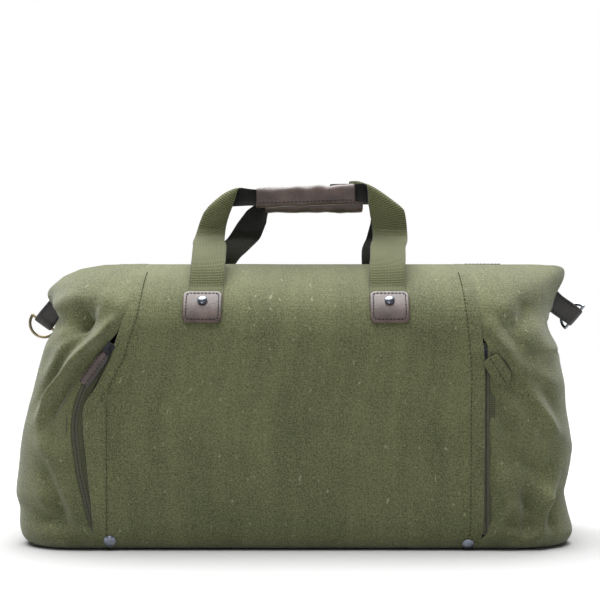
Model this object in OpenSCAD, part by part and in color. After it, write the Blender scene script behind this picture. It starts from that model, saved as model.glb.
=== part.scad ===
// Canvas weekender duffel bag with webbing handles, leather trim and zips.
// Millimetres, +Z up, -Y is the front, origin on the floor under the middle of the bag.

/* [Body] */
// Length of the bag at its widest, end to end
body_l = 564; // [460:2:660]
// Depth of the bag, front face to back face
body_d = 236; // [200:1:284]
// Height at which the soft top starts to lean in and the mouth panels hinge
shoulder_z = 215; // [190:1:240]
// Height of the top ridge, where the main zip lies
ridge_z = 288; // [270:1:320]
// Thickness of the canvas with its interfacing
canvas_t = 2.5; // [1.5:0.1:3]
// How much narrower each end is at the shoulder than at its widest
end_lean = 26; // [10:1:40]
// Height of the widest place of the ends
bulge_z = 50; // [40:1:80]
// Corner radius of the bag seen from above
corner_r = 62; // [50:1:75]
// Radius of the bottom edge
edge_r = 14; // [12:0.5:18]
// How far the ears at the ends of the top stay inside the widest place of the body
ear_in = 14; // [0:1:40]
// Width of the slit at each end that the strap loop comes out of
ear_slit = 44; // [36:1:50]

/* [Front pockets] */
// Radius of the curved zip of the left pocket
curve_r = 176; // [166:1:190]
// Distance of that curve's centre from the bag's left end
curve_in = 238; // [230:1:246]
// Height of that curve's centre
curve_z = 98.5; // [94:0.5:102]
// Angle of the zip's upper end on the curve
curve_from = 142.2; // [142:0.1:148]
// Angle of the zip's lower end on the curve
curve_to = 206; // [200:1:208]
// Distance of the front panel's right edge from the bag's right end
panel_right_in = 101; // [88:1:106]
// Distance of the front panel's left edge, at the floor, from the bag's left end
panel_left_in = 84; // [78:1:87]
// Height of the right pocket's zip at its lower end
right_zip_low = 16; // [15:1:30]
// Height of the right pocket's zip at its upper end
right_zip_high = 206; // [180:1:210]

/* [Zips] */
// Width of a zip with both its tapes
zip_w = 18; // [16:0.5:20]
// Width of the closed teeth
teeth_w = 5.6; // [5:0.1:6.5]
// Thickness of the teeth
teeth_t = 2.4; // [2:0.02:2.9]
// Length of the slider's body
slider_l = 10; // [8:0.5:12]
// Width of the slider's body
slider_w = 9; // [8:0.5:10]
// Distance from the end of the main zip's teeth to the folded gusset
main_short = 20; // [16:1:40]
// Depth of the main zip below the ridge
main_drop = 6; // [5:0.5:8]
// Length of a leather puller
pull_l = 40; // [30:1:46]
// Width of a leather puller
pull_w = 9; // [7:0.5:11]
// Thickness of a puller's strap
pull_t = 3; // [2:0.1:3.4]
// Length of the canvas puller
tab_pull_l = 38; // [30:1:44]
// Width of the canvas puller
tab_pull_w = 17; // [14:0.5:20]
// Angle of the canvas puller from straight down
tab_pull_angle = 33; // [0:1:40]

/* [Handles] */
// Width of the webbing
web_w = 38; // [30:1:50]
// Thickness of the webbing
web_t = 2.4; // [1.6:0.1:3]
// Distance of a handle's foot from the middle of the bag
leg_x = 94; // [80:1:110]
// Height of the webbing's fold, where the free handle starts
foot_z = 262; // [250:1:265]
// Height of the front grip's middle
grip_z = 361; // [345:1:380]
// How much lower the back grip sits
grip_drop = 5; // [0:0.5:8]
// Length of the leather grip
grip_l = 106; // [80:1:120]
// Sideways lean of the front grip
grip_shift = 10; // [0:1:20]
// Sideways lean of the back grip
grip_shift_back = 19; // [0:1:22]
// Height of the leather grip's section
grip_h = 23; // [20:0.5:28]
// Thickness of the leather grip's section
grip_t = 14; // [11:0.5:16]
// Distance of each grip's middle from the bag's middle plane
grip_y = 9; // [8.5:0.5:14]
// Width of a leather patch
patch_w = 40; // [34:1:52]
// Lower edge of a patch
patch_low = 225; // [220:1:228]
// Height of the rivet
rivet_z = 247; // [244:1:254]
// Radius of a rivet's head
rivet_r = 5; // [4:0.25:6]
// Thickness of the leather
leather_t = 2; // [1.4:0.1:2.5]

/* [Strap loops] */
// Width of the leather loop
loop_w = 22; // [20:1:26]
// Length of the drooping stretch of the loop
loop_l = 38; // [34:1:48]
// Height of the loop where it comes out
loop_z = 256; // [250:1:262]
// Distance from the folded gusset at which the left loop starts to droop
loop_out_left = 14; // [12:1:40]
// Distance from the folded gusset at which the right loop starts to droop
loop_out_right = 35; // [12:1:40]
// Droop of the left loop, in degrees below level
droop_left = 54; // [48:1:60]
// Droop of the right loop, in degrees below level
droop_right = 40; // [20:1:50]
// Radius of the D-ring's bow, to the middle of its wire
ring_r = 15; // [14:0.5:16]
// Thickness of the D-ring's wire
wire_d = 3; // [2.4:0.1:3.6]
// Angle at which the right ring has flipped back over its bar
flip_right = 140; // [0:5:145]

/* [Feet] */
// Radius of a metal foot
foot_r = 6; // [5:0.25:6.5]
// Distance of the left feet from the bag's left end
foot_left_in = 96; // [84:1:130]
// Distance of the right feet from the bag's right end
foot_right_in = 110; // [98:1:140]
// Turn of the left front foot up the bottom edge, in degrees
foot_roll = 72; // [58:1:80]
// Turn of the other feet up the bottom edge, in degrees
foot_tilt = 58; // [56:1:66]

/* [Hidden] */
$fn = 48;

olive = "#66694a";
dark_olive = "#4a4d35";
brown = "#4d403c";
metal = "#8d939b";
black = "#2a2a2a";

half_l = body_l / 2;
half_d = body_d / 2;
top_h = ridge_z - shoulder_z;
fit = 0.15; // small clearance between pieces that touch
mouth_gap = 0.6; // free height under a mouth panel
tape_t = 0.8;
centre_gap = 0.6; // half the gap between the two rows of teeth
plate_t = 1.1; // slider plates
zip_y = half_d - 1; // distance of a pocket zip's middle plane from the bag's
lining_in = 7; // depth of the lining below the outer face
lining_t = 0.8;
slot_w = 7; // half the gap between the two mouth panels at the ridge
main_z = ridge_z - main_drop;
ear_l = half_l - ear_in;
tuck_in = 34; // depth of the ear in front of the folded gusset
gable_in = ear_l - tuck_in; // inner face of the folded gusset's upright
curve_x = half_l - curve_in;
panel_right = half_l - panel_right_in;
panel_left = half_l - panel_left_in;
foot_left = half_l - foot_left_in;
foot_right = half_l - foot_right_in;
main_half = gable_in - main_short;
shelf_t = 2.5;
ear_z = ridge_z - 12; // top of the slit
stop_gap = 10; // from the folded gusset to the middle of the closed main slider
rest_x = gable_in - stop_gap;
slider_turn = 1.9; // turn from the curved zip's upper end to its slider when closed, in degrees
panel_step = 12; // how much further right the front panel's edge is above the curve's middle
bail_r = 3.1; // the slider's bail
bail_z = teeth_t / 2 + 0.3 + plate_t; // outer face of the slider
link_r = 3.5;
link_wire = 0.6;
link_z = bail_z + 1.5; // axis on which a puller turns
stem_r = 1.5;
zip_mid_right = panel_right + zip_w / 2;

// Half length of the bag at a height below the shoulder.
function end_x(z) = half_l - (z < bulge_z ? 0 : end_lean * pow((z - bulge_z) / (shoulder_z - bulge_z), 1.5));

// Points of a rounded rectangle with half sides a and b, counter-clockwise from the right front corner.
function ring_points(a, b, r, z) = [
    for (q = [0:3]) for (k = [0:8])
        let (s = k * 90 / 8 + q * 90, cx = (q == 0 || q == 3 ? 1 : -1) * (a - r), cy = (q < 2 ? 1 : -1) * (b - r))
            [cx + r * cos(s), cy + r * sin(s), z]
];

// A closed solid through a stack of rings that have the same number of points.
module stack(rings) {
    n = len(rings[0]);
    last = len(rings) - 1;
    sides = [
        for (k = [0:last - 1]) for (i = [0:n - 1])
            let (j = (i + 1) % n) each [
                [k * n + i, k * n + n + j, k * n + j],
                [k * n + i, k * n + n + i, k * n + n + j],
            ]
    ];
    caps = [[for (i = [0:n - 1]) i], [for (i = [n - 1:-1:0]) last * n + i]];
    polyhedron(points = [for (r = rings) each r], faces = concat(sides, caps));
}

// The lower bag as a solid, taken in by a distance all round.
module lower_solid(inset = 0, top = shoulder_z) {
    e = edge_r - inset;
    rounding = [for (s = [0:15:75]) [inset + e * (1 - cos(s)), e * (1 - sin(s))]];
    straight = [for (k = [0:8]) [edge_r + k * (top - edge_r) / 8, 0]];
    stack([for (p = concat(rounding, straight))
        ring_points(end_x(p[0]) - inset - p[1], half_d - inset - p[1], corner_r - inset - p[1], p[0])]);
}

// The leaning top as a solid, taken in by a distance all round.
module top_solid(inset = 0, low = shoulder_z) {
    foot = end_x(shoulder_z);
    stack([for (s = concat([0], [for (k = [1:9]) k * 9], [87]))
        let (
            z = s == 0 ? low : shoulder_z + (top_h - inset) * sin(s),
            b = (half_d - inset) * cos(s),
            a = foot + (ear_l - foot) * min(1, s / 30) - inset,
            r = min(b, corner_r - inset + s * 2)
        ) ring_points(a, b, r, z)]);
}

// A point of the top's outer face at a height, moved out by a distance; the front is y below 0.
function slope(z) = asin(min(1, (z - shoulder_z) / top_h));
function top_normal(z) = let (s = slope(z), v = [-cos(s) / half_d, sin(s) / top_h]) v / norm(v);
function top_point(z, out) = [-half_d * cos(slope(z)), z] + out * top_normal(z);

// A sheet that follows the top's face between two heights and two distances from it.
module top_sheet(x, w, z0, z1, out0, out1) {
    outer = [for (k = [0:8]) top_point(z0 + k * (z1 - z0) / 8, out1)];
    inner = [for (k = [8:-1:0]) top_point(z0 + k * (z1 - z0) / 8, out0)];
    translate([x - w / 2, 0, 0]) rotate([90, 0, 90]) linear_extrude(w) polygon(concat(outer, inner));
}

module lower_shell() {
    difference() {
        lower_solid();
        lower_solid(canvas_t, shoulder_z + 1);
    }
}

// Puts a flat shape drawn in x and z in front of the bag and carries it through to the middle.
module through_front() { translate([0, -edge_r, 0]) rotate([90, 0, 0]) linear_extrude(half_d) children(); }

module curve_disc(r) { translate([-curve_x, curve_z]) circle(r = r, $fn = 128); }

// The sector of the left pocket's zip, a little longer than the zip at both ends, in degrees.
module curve_sector(extra = 0.4) {
    far = curve_r * 1.6;
    translate([-curve_x, curve_z]) polygon([
        [0, 0],
        for (s = [0:4]) far * [for (f = [curve_from - extra + s * (curve_to - curve_from + 2 * extra) / 4]) each [cos(f), sin(f)]],
    ]);
}

module curved_slot() {
    intersection() {
        difference() {
            curve_disc(curve_r + zip_w / 2);
            curve_disc(curve_r - zip_w / 2);
        }
        curve_sector();
    }
}

module panel_outline() {
    difference() {
        union() {
            translate([-curve_x, 0]) square([curve_x + panel_right, shoulder_z]);
            translate([-panel_left, 0]) square([panel_left, curve_z]);
            translate([-panel_left + panel_step, 0]) square([panel_left, shoulder_z]);
            intersection() {
                curve_disc(curve_r);
                translate([-half_l, 0]) square([half_l, shoulder_z]);
            }
        }
        curved_slot();
    }
}

module right_slot() { translate([panel_right, right_zip_low - 2]) square([zip_w, right_zip_high - right_zip_low + 4]); }

// Sets children at a foot's place: z points out of the bag, 0 is the canvas's outer face.
module at_foot(x, tilt, side) {
    translate([x, side * (half_d - edge_r), edge_r]) rotate([side * (tilt - 180), 0, 0])
        translate([0, 0, edge_r]) children();
}

module at_feet() {
    at_foot(-foot_left, foot_roll, -1) children();
    at_foot(foot_right, foot_tilt, -1) children();
    at_foot(-foot_left, foot_tilt, 1) children();
    at_foot(foot_right, foot_tilt, 1) children();
}

module foot_holes() { at_feet() translate([0, 0, -8]) cylinder(r = stem_r + fit, h = 10); }

module front_panel() {
    color(olive) difference() {
        intersection() {
            lower_shell();
            through_front() panel_outline();
            translate([-half_l, -half_d - 1, -1]) cube([body_l, edge_r + 1, shoulder_z + 2]);
        }
        foot_holes();
    }
}

module back_panel() {
    color(olive) difference() {
        intersection() {
            lower_shell();
            translate([-panel_left, half_d - edge_r, -1]) cube([panel_left + panel_right, edge_r + 1, shoulder_z + 2]);
        }
        foot_holes();
    }
}

module bottom_panel() {
    color(olive) intersection() {
        lower_shell();
        translate([-panel_left, edge_r - half_d, -1])
            cube([panel_left + panel_right, body_d - 2 * edge_r, canvas_t + 1]);
    }
}

module left_gusset() {
    color(olive) difference() {
        intersection() {
            lower_shell();
            translate([-half_l - 1, -half_d - 1, -1]) cube([half_l - curve_x, body_d + 2, shoulder_z + 2]);
        }
        through_front() union() {
            panel_outline();
            curved_slot();
        }
        translate([-panel_left, edge_r - half_d, -1]) cube([body_l, body_d, shoulder_z + 2]);
    }
}

module right_gusset() {
    color(olive) difference() {
        intersection() {
            lower_shell();
            translate([panel_right, -half_d - 1, -1]) cube([half_l, body_d + 2, shoulder_z + 2]);
        }
        through_front() right_slot();
    }
}

// The end's canvas folded in under the ear: a shelf at the shoulder and an upright behind it.
module gusset_fold(side) {
    color(olive) union() {
        intersection() {
            top_solid(canvas_t + 1.2, shoulder_z - shelf_t - 0.5);
            translate([side > 0 ? gable_in : -gable_in - shelf_t, -half_d, shoulder_z - shelf_t - 0.5])
                cube([shelf_t, body_d, main_z - 1.8 - shoulder_z + shelf_t + 0.5]);
        }
        intersection() {
            lower_solid(canvas_t + fit, shoulder_z);
            translate([side > 0 ? gable_in : -half_l, -half_d, shoulder_z - shelf_t - 0.5])
                cube([half_l - gable_in, body_d, shelf_t]);
        }
    }
}

module front_mouth_panel() {
    color(olive) difference() {
        top_solid(0, shoulder_z + mouth_gap);
        top_solid(canvas_t, shoulder_z - 1);
        translate([-body_l, -slot_w, 0]) cube([2 * body_l, body_d, ridge_z + 10]);
        for (side = [-1, 1])
            translate([side > 0 ? gable_in - 2 : -body_l, -ear_slit / 2, 0]) cube([body_l - gable_in + 2, ear_slit, ear_z]);
        at_rivets() translate([0, 0, -10]) cylinder(r = stem_r + fit, h = 20);
    }
}

module to_back() { mirror([0, 1, 0]) children(); }

module lining() {
    color("#3d3f36") difference() {
        lower_solid(lining_in, shoulder_z - shelf_t - 1);
        lower_solid(lining_in + lining_t, shoulder_z + 1);
    }
}

module base_board() {
    board = 2.5;
    color(black) translate([-end_x(0) + corner_r, edge_r + 8 - half_d, canvas_t + fit])
        cube([2 * (end_x(0) - corner_r), body_d - 2 * edge_r - 16, board]);
}

// A pocket's inner layer, a flat pouch between the front panel and the lining.
module pocket_bag(x0, x1) {
    color(black) translate([x0, lining_in - 2 - half_d, 26]) cube([x1 - x0, 1, right_zip_high - 32]);
}

module feet() {
    color(metal) at_feet() {
        translate([0, 0, 0.1]) cylinder(r = foot_r, h = 0.9);
        translate([0, 0, 1]) intersection() {
            translate([0, 0, 2 - foot_r * 1.6]) sphere(r = foot_r * 1.6);
            cylinder(r = foot_r, h = 4);
        }
        translate([0, 0, -canvas_t - 2.4]) cylinder(r = stem_r, h = canvas_t + 3);
    }
}

module foot_washers() {
    color(metal) at_feet() translate([0, 0, -canvas_t - 2.3]) difference() {
        cylinder(r = 5, h = 0.8);
        translate([0, 0, -1]) cylinder(r = stem_r + fit, h = 3);
    }
}

// A straight length of zip along x, centred on its own middle plane.
module tape_pair(x0, x1) {
    for (side = [-1, 1]) translate([x0, side > 0 ? teeth_w / 2 : -zip_w / 2 + fit, -tape_t / 2])
        cube([x1 - x0, zip_w / 2 - teeth_w / 2 - fit, tape_t]);
}

module teeth_pair(x0, x1) {
    for (side = [-1, 1]) translate([x0, side > 0 ? centre_gap : -teeth_w / 2, -teeth_t / 2])
        cube([x1 - x0, teeth_w / 2 - centre_gap, teeth_t]);
}

// Slider on a zip along x, outward is z: two plates, the post between the teeth and the bail.
module slider() {
    color(metal) {
        for (z = [teeth_t / 2 + 0.3, -teeth_t / 2 - 0.3 - plate_t])
            translate([-slider_l / 2, -slider_w / 2, z]) cube([slider_l, slider_w, plate_t]);
        translate([-2, -0.3, -teeth_t / 2 - 0.5]) cube([4, 0.6, teeth_t + 1]);
        translate([0, 0, bail_z - 0.2]) rotate([90, 0, 0])
            rotate_extrude(angle = 180) translate([bail_r, 0]) circle(r = 0.6);
    }
}

module link_ring(wire) { translate([link_r, 0, link_z]) rotate_extrude() translate([link_r, 0]) circle(r = wire); }

module pull_link() { color(metal) link_ring(link_wire); }

// Doubled leather strap held by the link, lying along x.
module pull_strap() {
    color(brown) difference() {
        translate([2 * link_r - 1.6, -pull_w / 2, link_z - pull_t / 2]) cube([pull_l, pull_w, pull_t]);
        link_ring(link_wire + 0.12);
        translate([link_r, 0, 0]) cylinder(r = link_r, h = 20, center = true);
    }
}

module pull_tab() {
    w = tab_pull_w / 2;
    start = 2 * link_r - 1.6;
    color(olive) difference() {
        translate([0, 0, link_z - pull_t / 2]) linear_extrude(pull_t) polygon([
            [start, -5], [start + 10, -w], [start + tab_pull_l - 8, -w], [start + tab_pull_l, -w / 2],
            [start + tab_pull_l, w / 2], [start + tab_pull_l - 8, w], [start + 10, w], [start, 5],
        ]);
        link_ring(link_wire + 0.12);
        translate([link_r, 0, 0]) cylinder(r = link_r, h = 20, center = true);
    }
}

module at_main_slider() { translate([rest_x, 0, main_z]) rotate([0, 0, 180]) children(); }

module on_curve(angle) {
    translate([-curve_x + curve_r * cos(angle), -zip_y, curve_z + curve_r * sin(angle)])
        rotate([90, 0, 0]) rotate([0, 0, angle + 90]) children();
}

module at_left_slider() { on_curve(curve_from + slider_turn) children(); }

module at_right_slider() {
    translate([zip_mid_right, -zip_y, right_zip_high - 8]) rotate([90, 0, 0]) rotate([0, 0, -90]) children();
}

module curved_band(r0, r1, t) {
    translate([-curve_x, -zip_y, curve_z]) rotate([90, 0, 0]) rotate([0, 0, curve_from])
        rotate_extrude(angle = curve_to - curve_from, $fn = 128) translate([r0, -t / 2]) square([r1 - r0, t]);
}

module left_zip_tape() {
    color(dark_olive) {
        curved_band(curve_r - zip_w / 2 + fit, curve_r - teeth_w / 2, tape_t);
        curved_band(curve_r + teeth_w / 2, curve_r + zip_w / 2 - fit, tape_t);
    }
}

module left_zip_teeth() {
    color(black) {
        curved_band(curve_r - teeth_w / 2, curve_r - centre_gap, teeth_t);
        curved_band(curve_r + centre_gap, curve_r + teeth_w / 2, teeth_t);
    }
}

module upright_zip() { translate([zip_mid_right, -zip_y, 0]) rotate([90, 0, 0]) rotate([0, 0, -90]) children(); }

module main_zip_half(side) {
    color(dark_olive) translate([-main_half, 0, main_z]) rotate([90, 0, 90]) linear_extrude(2 * main_half)
        scale([side, 1]) polygon([
            [teeth_w / 2, tape_t / 2], [slot_w + 1, tape_t / 2], [slot_w + 8, main_drop - canvas_t - 1.6],
            [slot_w + 8, main_drop - canvas_t - 1.6 - tape_t], [slot_w + 1.5, -tape_t / 2], [teeth_w / 2, -tape_t / 2],
        ]);
}

module main_teeth_half(side) {
    color(black) translate([-main_half, side > 0 ? centre_gap : -teeth_w / 2, main_z - teeth_t / 2])
        cube([2 * main_half, teeth_w / 2 - centre_gap, teeth_t]);
}

// The leather end stop of the main zip, sewn to the folded gusset.
module zip_end(side) {
    color(brown) translate([side > 0 ? gable_in - 2 : -gable_in - 17, -slot_w + 1, main_z - 1.8 + 0.01])
        cube([19, 2 * slot_w - 2, 1.8]);
}

// Handle: a leg that lies low over the top, then an upright frame that carries the grip.
fold_out = 6;
fold_point = top_point(foot_z, fold_out);
bend_z = ridge_z + 16;
module handle_webbing(shift, z) {
    start = fold_point + [1.2, 0.5];
    bend = [-grip_y, bend_z];
    across = [-(bend - start)[1], (bend - start)[0]] / norm(bend - start) * web_t / 2;
    color(olive) {
        for (side = [-1, 1]) translate([side * leg_x - web_w / 2, 0, 0]) rotate([90, 0, 90])
            linear_extrude(web_w) polygon([start - across, bend - across, bend + across, start + across]);
        translate([0, web_t / 2 - grip_y, 0]) rotate([90, 0, 0]) linear_extrude(web_t) handle_outline(shift, z);
        translate([shift - grip_l / 2 - 4, -grip_y, z]) rotate([90, 0, 90])
            linear_extrude(grip_l + 8) flat_oval(grip_t - 2 * leather_t - 0.4, grip_h - 2 * leather_t - 0.4);
    }
}

module handle_outline(shift, z) {
    tongue = grip_h / 2 - leather_t - 1;
    for (side = [-1, 1]) {
        out_x = side * (leg_x + web_w / 2);
        in_x = side * (leg_x - web_w / 2);
        end = shift + side * grip_l / 2;
        polygon([
            [out_x, bend_z], [out_x, bend_z + 12], [out_x - side * 12, z - 20],
            [end + side * 14, z + grip_h / 2], [end + side, z + tongue], [end - side * 4, z + tongue],
            [end - side * 4, z - tongue], [end + side, z - tongue], [in_x + side * 4, z - 14],
            [in_x, bend_z + 14], [in_x, bend_z],
        ]);
    }
}

module flat_oval(w, h) {
    square([w, h - w], center = true);
    for (side = [-1, 1]) translate([0, side * (h - w) / 2]) circle(d = w);
}

module grip_wrap(shift, z) {
    color(brown) translate([shift - grip_l / 2, -grip_y, z]) rotate([90, 0, 90])
        linear_extrude(grip_l) difference() {
            flat_oval(grip_t, grip_h);
            flat_oval(grip_t - 2 * leather_t, grip_h - 2 * leather_t);
        }
}

// Sets children on the top's face at both rivets of one side, z pointing out.
module at_rivets() {
    p = top_point(rivet_z, 0);
    n = top_normal(rivet_z);
    for (side = [-1, 1]) translate([side * leg_x, p[0], p[1]]) rotate([atan2(-n[0], n[1]), 0, 0]) children();
}

module rivets() {
    seat = web_t + leather_t + 0.25;
    color(metal) at_rivets() {
        translate([0, 0, seat]) cylinder(r = rivet_r, h = 0.8);
        translate([0, 0, seat + 0.8]) intersection() {
            translate([0, 0, 2 - rivet_r * 1.5]) sphere(r = rivet_r * 1.5);
            cylinder(r = rivet_r, h = 3);
        }
        translate([0, 0, -canvas_t - 1.8]) cylinder(r = stem_r, h = seat + canvas_t + 2);
        translate([0, 0, -canvas_t - 1.8]) cylinder(r = rivet_r - 0.5, h = 0.8);
    }
}

module rivet_holes() { at_rivets() cylinder(r = stem_r + fit, h = 30, center = true); }

module patch(side) {
    r = 6;
    low = patch_low;
    high = foot_z - 0.5;
    color(brown) difference() {
        intersection() {
            top_sheet(side * leg_x, patch_w, low, high, web_t + 0.1, web_t + 0.1 + leather_t);
            translate([side * leg_x, 0, 0]) rotate([90, 0, 0]) linear_extrude(half_d + 10) hull()
                for (x = [-1, 1]) for (z = [low - 4 + r, high + 4 - r])
                    translate([x * (patch_w / 2 - r), z]) circle(r = r, $fn = 24);
        }
        rivet_holes();
    }
}

// The sewn end of each webbing leg, between the panel and the patch.
module webbing_tails() {
    color(olive) difference() {
        for (side = [-1, 1]) top_sheet(side * leg_x, web_w - 6, patch_low + 4, foot_z - 0.6, 0.05, web_t);
        rivet_holes();
    }
}

// Places the loop's drooping end: x along the droop, z across it in the plane of the leather.
function droop(side) = side > 0 ? droop_right : droop_left;
function loop_x(side) = gable_in + (side > 0 ? loop_out_right : loop_out_left);
module at_loop_tip(side) {
    a = droop(side);
    translate([side * (loop_x(side) + loop_l * cos(a)), 0, loop_z - loop_l * sin(a)])
        rotate([0, side > 0 ? a : 180 - a, 0]) children();
}

loop_t = 4.4;
eye_r = wire_d / 2 + 2;
ring_bore = wire_d / 2 + 0.2;
module ring_loop(side) {
    a = droop(side);
    root = gable_in + shelf_t + 0.05;
    w = loop_w / 2;
    stop = loop_l - ring_bore - 0.8; // the strap ends inside the eye, short of the bore
    from = loop_x(side);
    tip = [from + stop * cos(a), loop_z - stop * sin(a)];
    back = [sin(a), cos(a)] * (w - 0.5);
    outline = [
        [root, loop_z - w + 1], [from - 4, loop_z - w], tip - back, tip + back,
        [from + 4, loop_z + w], [root, loop_z + w],
    ];
    color(black) union() {
        translate([0, loop_t / 2, 0]) rotate([90, 0, 0]) linear_extrude(loop_t)
            polygon([for (p = outline) [side * p[0], p[1]]]);
        at_loop_tip(side) difference() {
            cylinder(r = eye_r, h = loop_w, center = true);
            cylinder(r = ring_bore, h = loop_w + 2, center = true);
        }
    }
}

module d_ring(side) {
    color(metal) at_loop_tip(side) rotate([0, 0, side > 0 ? flip_right : 0]) union() {
        cylinder(d = wire_d, h = 2 * ring_r, center = true);
        rotate([90, 0, 0]) rotate([0, 0, -90]) rotate_extrude(angle = 180) translate([ring_r, 0]) circle(d = wire_d);
        for (end = [-1, 1]) translate([0, 0, end * ring_r]) sphere(d = wire_d);
    }
}

front_panel();
back_panel();
bottom_panel();
left_gusset();
right_gusset();
gusset_fold(-1);  // left_gusset_fold
gusset_fold(1);  // right_gusset_fold
front_mouth_panel();
to_back() front_mouth_panel();  // back_mouth_panel
lining();
base_board();
pocket_bag(-panel_left, -6);  // left_pocket_bag
pocket_bag(6, panel_right);  // right_pocket_bag
feet();
foot_washers();
main_zip_half(-1);  // front_zip_tape
main_teeth_half(-1);  // front_zip_teeth
main_zip_half(1);  // back_zip_tape
main_teeth_half(1);  // back_zip_teeth
zip_end(-1);  // left_zip_end
zip_end(1);  // right_zip_end
at_main_slider() slider();  // main_zip_slider
at_main_slider() pull_link();  // main_pull_link
at_main_slider() pull_strap();  // main_pull_strap
left_zip_tape();
left_zip_teeth();
at_left_slider() slider();  // left_zip_slider
at_left_slider() pull_link();  // left_pull_link
at_left_slider() pull_strap();  // left_pull_strap
color(dark_olive) upright_zip() tape_pair(-right_zip_high, -right_zip_low);  // right_zip_tape
color(black) upright_zip() teeth_pair(-right_zip_high, -right_zip_low);  // right_zip_teeth
at_right_slider() slider();  // right_zip_slider
at_right_slider() rotate([0, 0, tab_pull_angle]) pull_link();  // right_pull_link
at_right_slider() rotate([0, 0, tab_pull_angle]) pull_tab();  // right_pull_tab
handle_webbing(grip_shift, grip_z);  // front_handle_webbing
grip_wrap(grip_shift, grip_z);  // front_grip_wrap
to_back() handle_webbing(grip_shift_back, grip_z - grip_drop);  // back_handle_webbing
to_back() grip_wrap(grip_shift_back, grip_z - grip_drop);  // back_grip_wrap
patch(-1);  // front_left_patch
patch(1);  // front_right_patch
to_back() patch(-1);  // back_left_patch
to_back() patch(1);  // back_right_patch
webbing_tails();  // front_webbing_tails
to_back() webbing_tails();  // back_webbing_tails
rivets();  // front_rivets
to_back() rivets();  // back_rivets
ring_loop(-1);  // left_ring_loop
ring_loop(1);  // right_ring_loop
d_ring(-1);  // left_d_ring
d_ring(1);  // right_d_ring
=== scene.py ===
"""A canvas weekender duffel bag: cloth, leather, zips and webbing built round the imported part."""

import math

import bpy
import numpy as np
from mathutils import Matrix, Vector


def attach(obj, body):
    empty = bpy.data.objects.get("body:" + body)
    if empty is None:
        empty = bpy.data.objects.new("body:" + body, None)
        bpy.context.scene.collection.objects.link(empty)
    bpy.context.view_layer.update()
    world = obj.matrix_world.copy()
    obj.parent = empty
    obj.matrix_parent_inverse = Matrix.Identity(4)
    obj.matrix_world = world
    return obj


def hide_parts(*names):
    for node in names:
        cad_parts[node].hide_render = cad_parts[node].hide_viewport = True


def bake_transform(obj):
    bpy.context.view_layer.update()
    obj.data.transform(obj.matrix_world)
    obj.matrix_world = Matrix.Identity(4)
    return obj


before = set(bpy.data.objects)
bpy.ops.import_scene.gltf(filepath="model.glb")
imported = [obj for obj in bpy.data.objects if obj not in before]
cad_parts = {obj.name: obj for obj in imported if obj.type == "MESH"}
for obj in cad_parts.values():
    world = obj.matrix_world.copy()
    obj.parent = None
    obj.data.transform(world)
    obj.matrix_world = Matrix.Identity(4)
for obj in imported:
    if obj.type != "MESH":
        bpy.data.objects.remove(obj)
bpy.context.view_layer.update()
MM = 0.001
# The body in millimetres: shoulder height, half depth, ridge height, plan corner radius, bottom edge radius.
SHOULDER, DEPTH, RIDGE = 215.0, 118.0, 288.0
CORNER, EDGE = 62.0, 15.0
# The left pocket zip's arc in x and z, the right one's place in x, and the front plane of both zips.
ARC_X, ARC_Z, ARC_R = -44.0, 98.5, 176.0
RIGHT_ZIP_X, ZIP_Y, ZIP_LOW, ZIP_TOP = 190.0, -117.0, 16.0, 206.0
MAIN_ZIP_Z, MAIN_ZIP_HALF = 282.0, 214.0
# Pitches of teeth and stitches in metres, then cloth thicknesses in millimetres.
TOOTH_PITCH, HEM_PITCH, PULLER_PITCH = 0.0021, 0.0044, 0.0036
CLOTH, LINING_CLOTH = 1.2, 0.7


# ---------------------------------------------------------------- finishes

class Number:
    """A number inside a material, so that sums on it read as plain sums."""

    def __init__(self, finish, socket):
        self.finish, self.socket = finish, socket

    def sum(self, operation, *values):
        return self.finish.number("ShaderNodeMath", {"operation": operation}, *values)

    def __add__(self, other):
        return self.sum("ADD", self, other)

    def __sub__(self, other):
        return self.sum("SUBTRACT", self, other)

    def __rsub__(self, other):
        return self.sum("SUBTRACT", other, self)

    def __mul__(self, other):
        return self.sum("MULTIPLY", self, other)

    def __pow__(self, other):
        return self.sum("POWER", self, other)

    __radd__, __rmul__ = __add__, __mul__

    def between(self, low, high):
        settings = {"interpolation_type": "SMOOTHSTEP"}
        return self.finish.number("ShaderNodeMapRange", settings, self, low, high, 0.0, 1.0)


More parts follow.
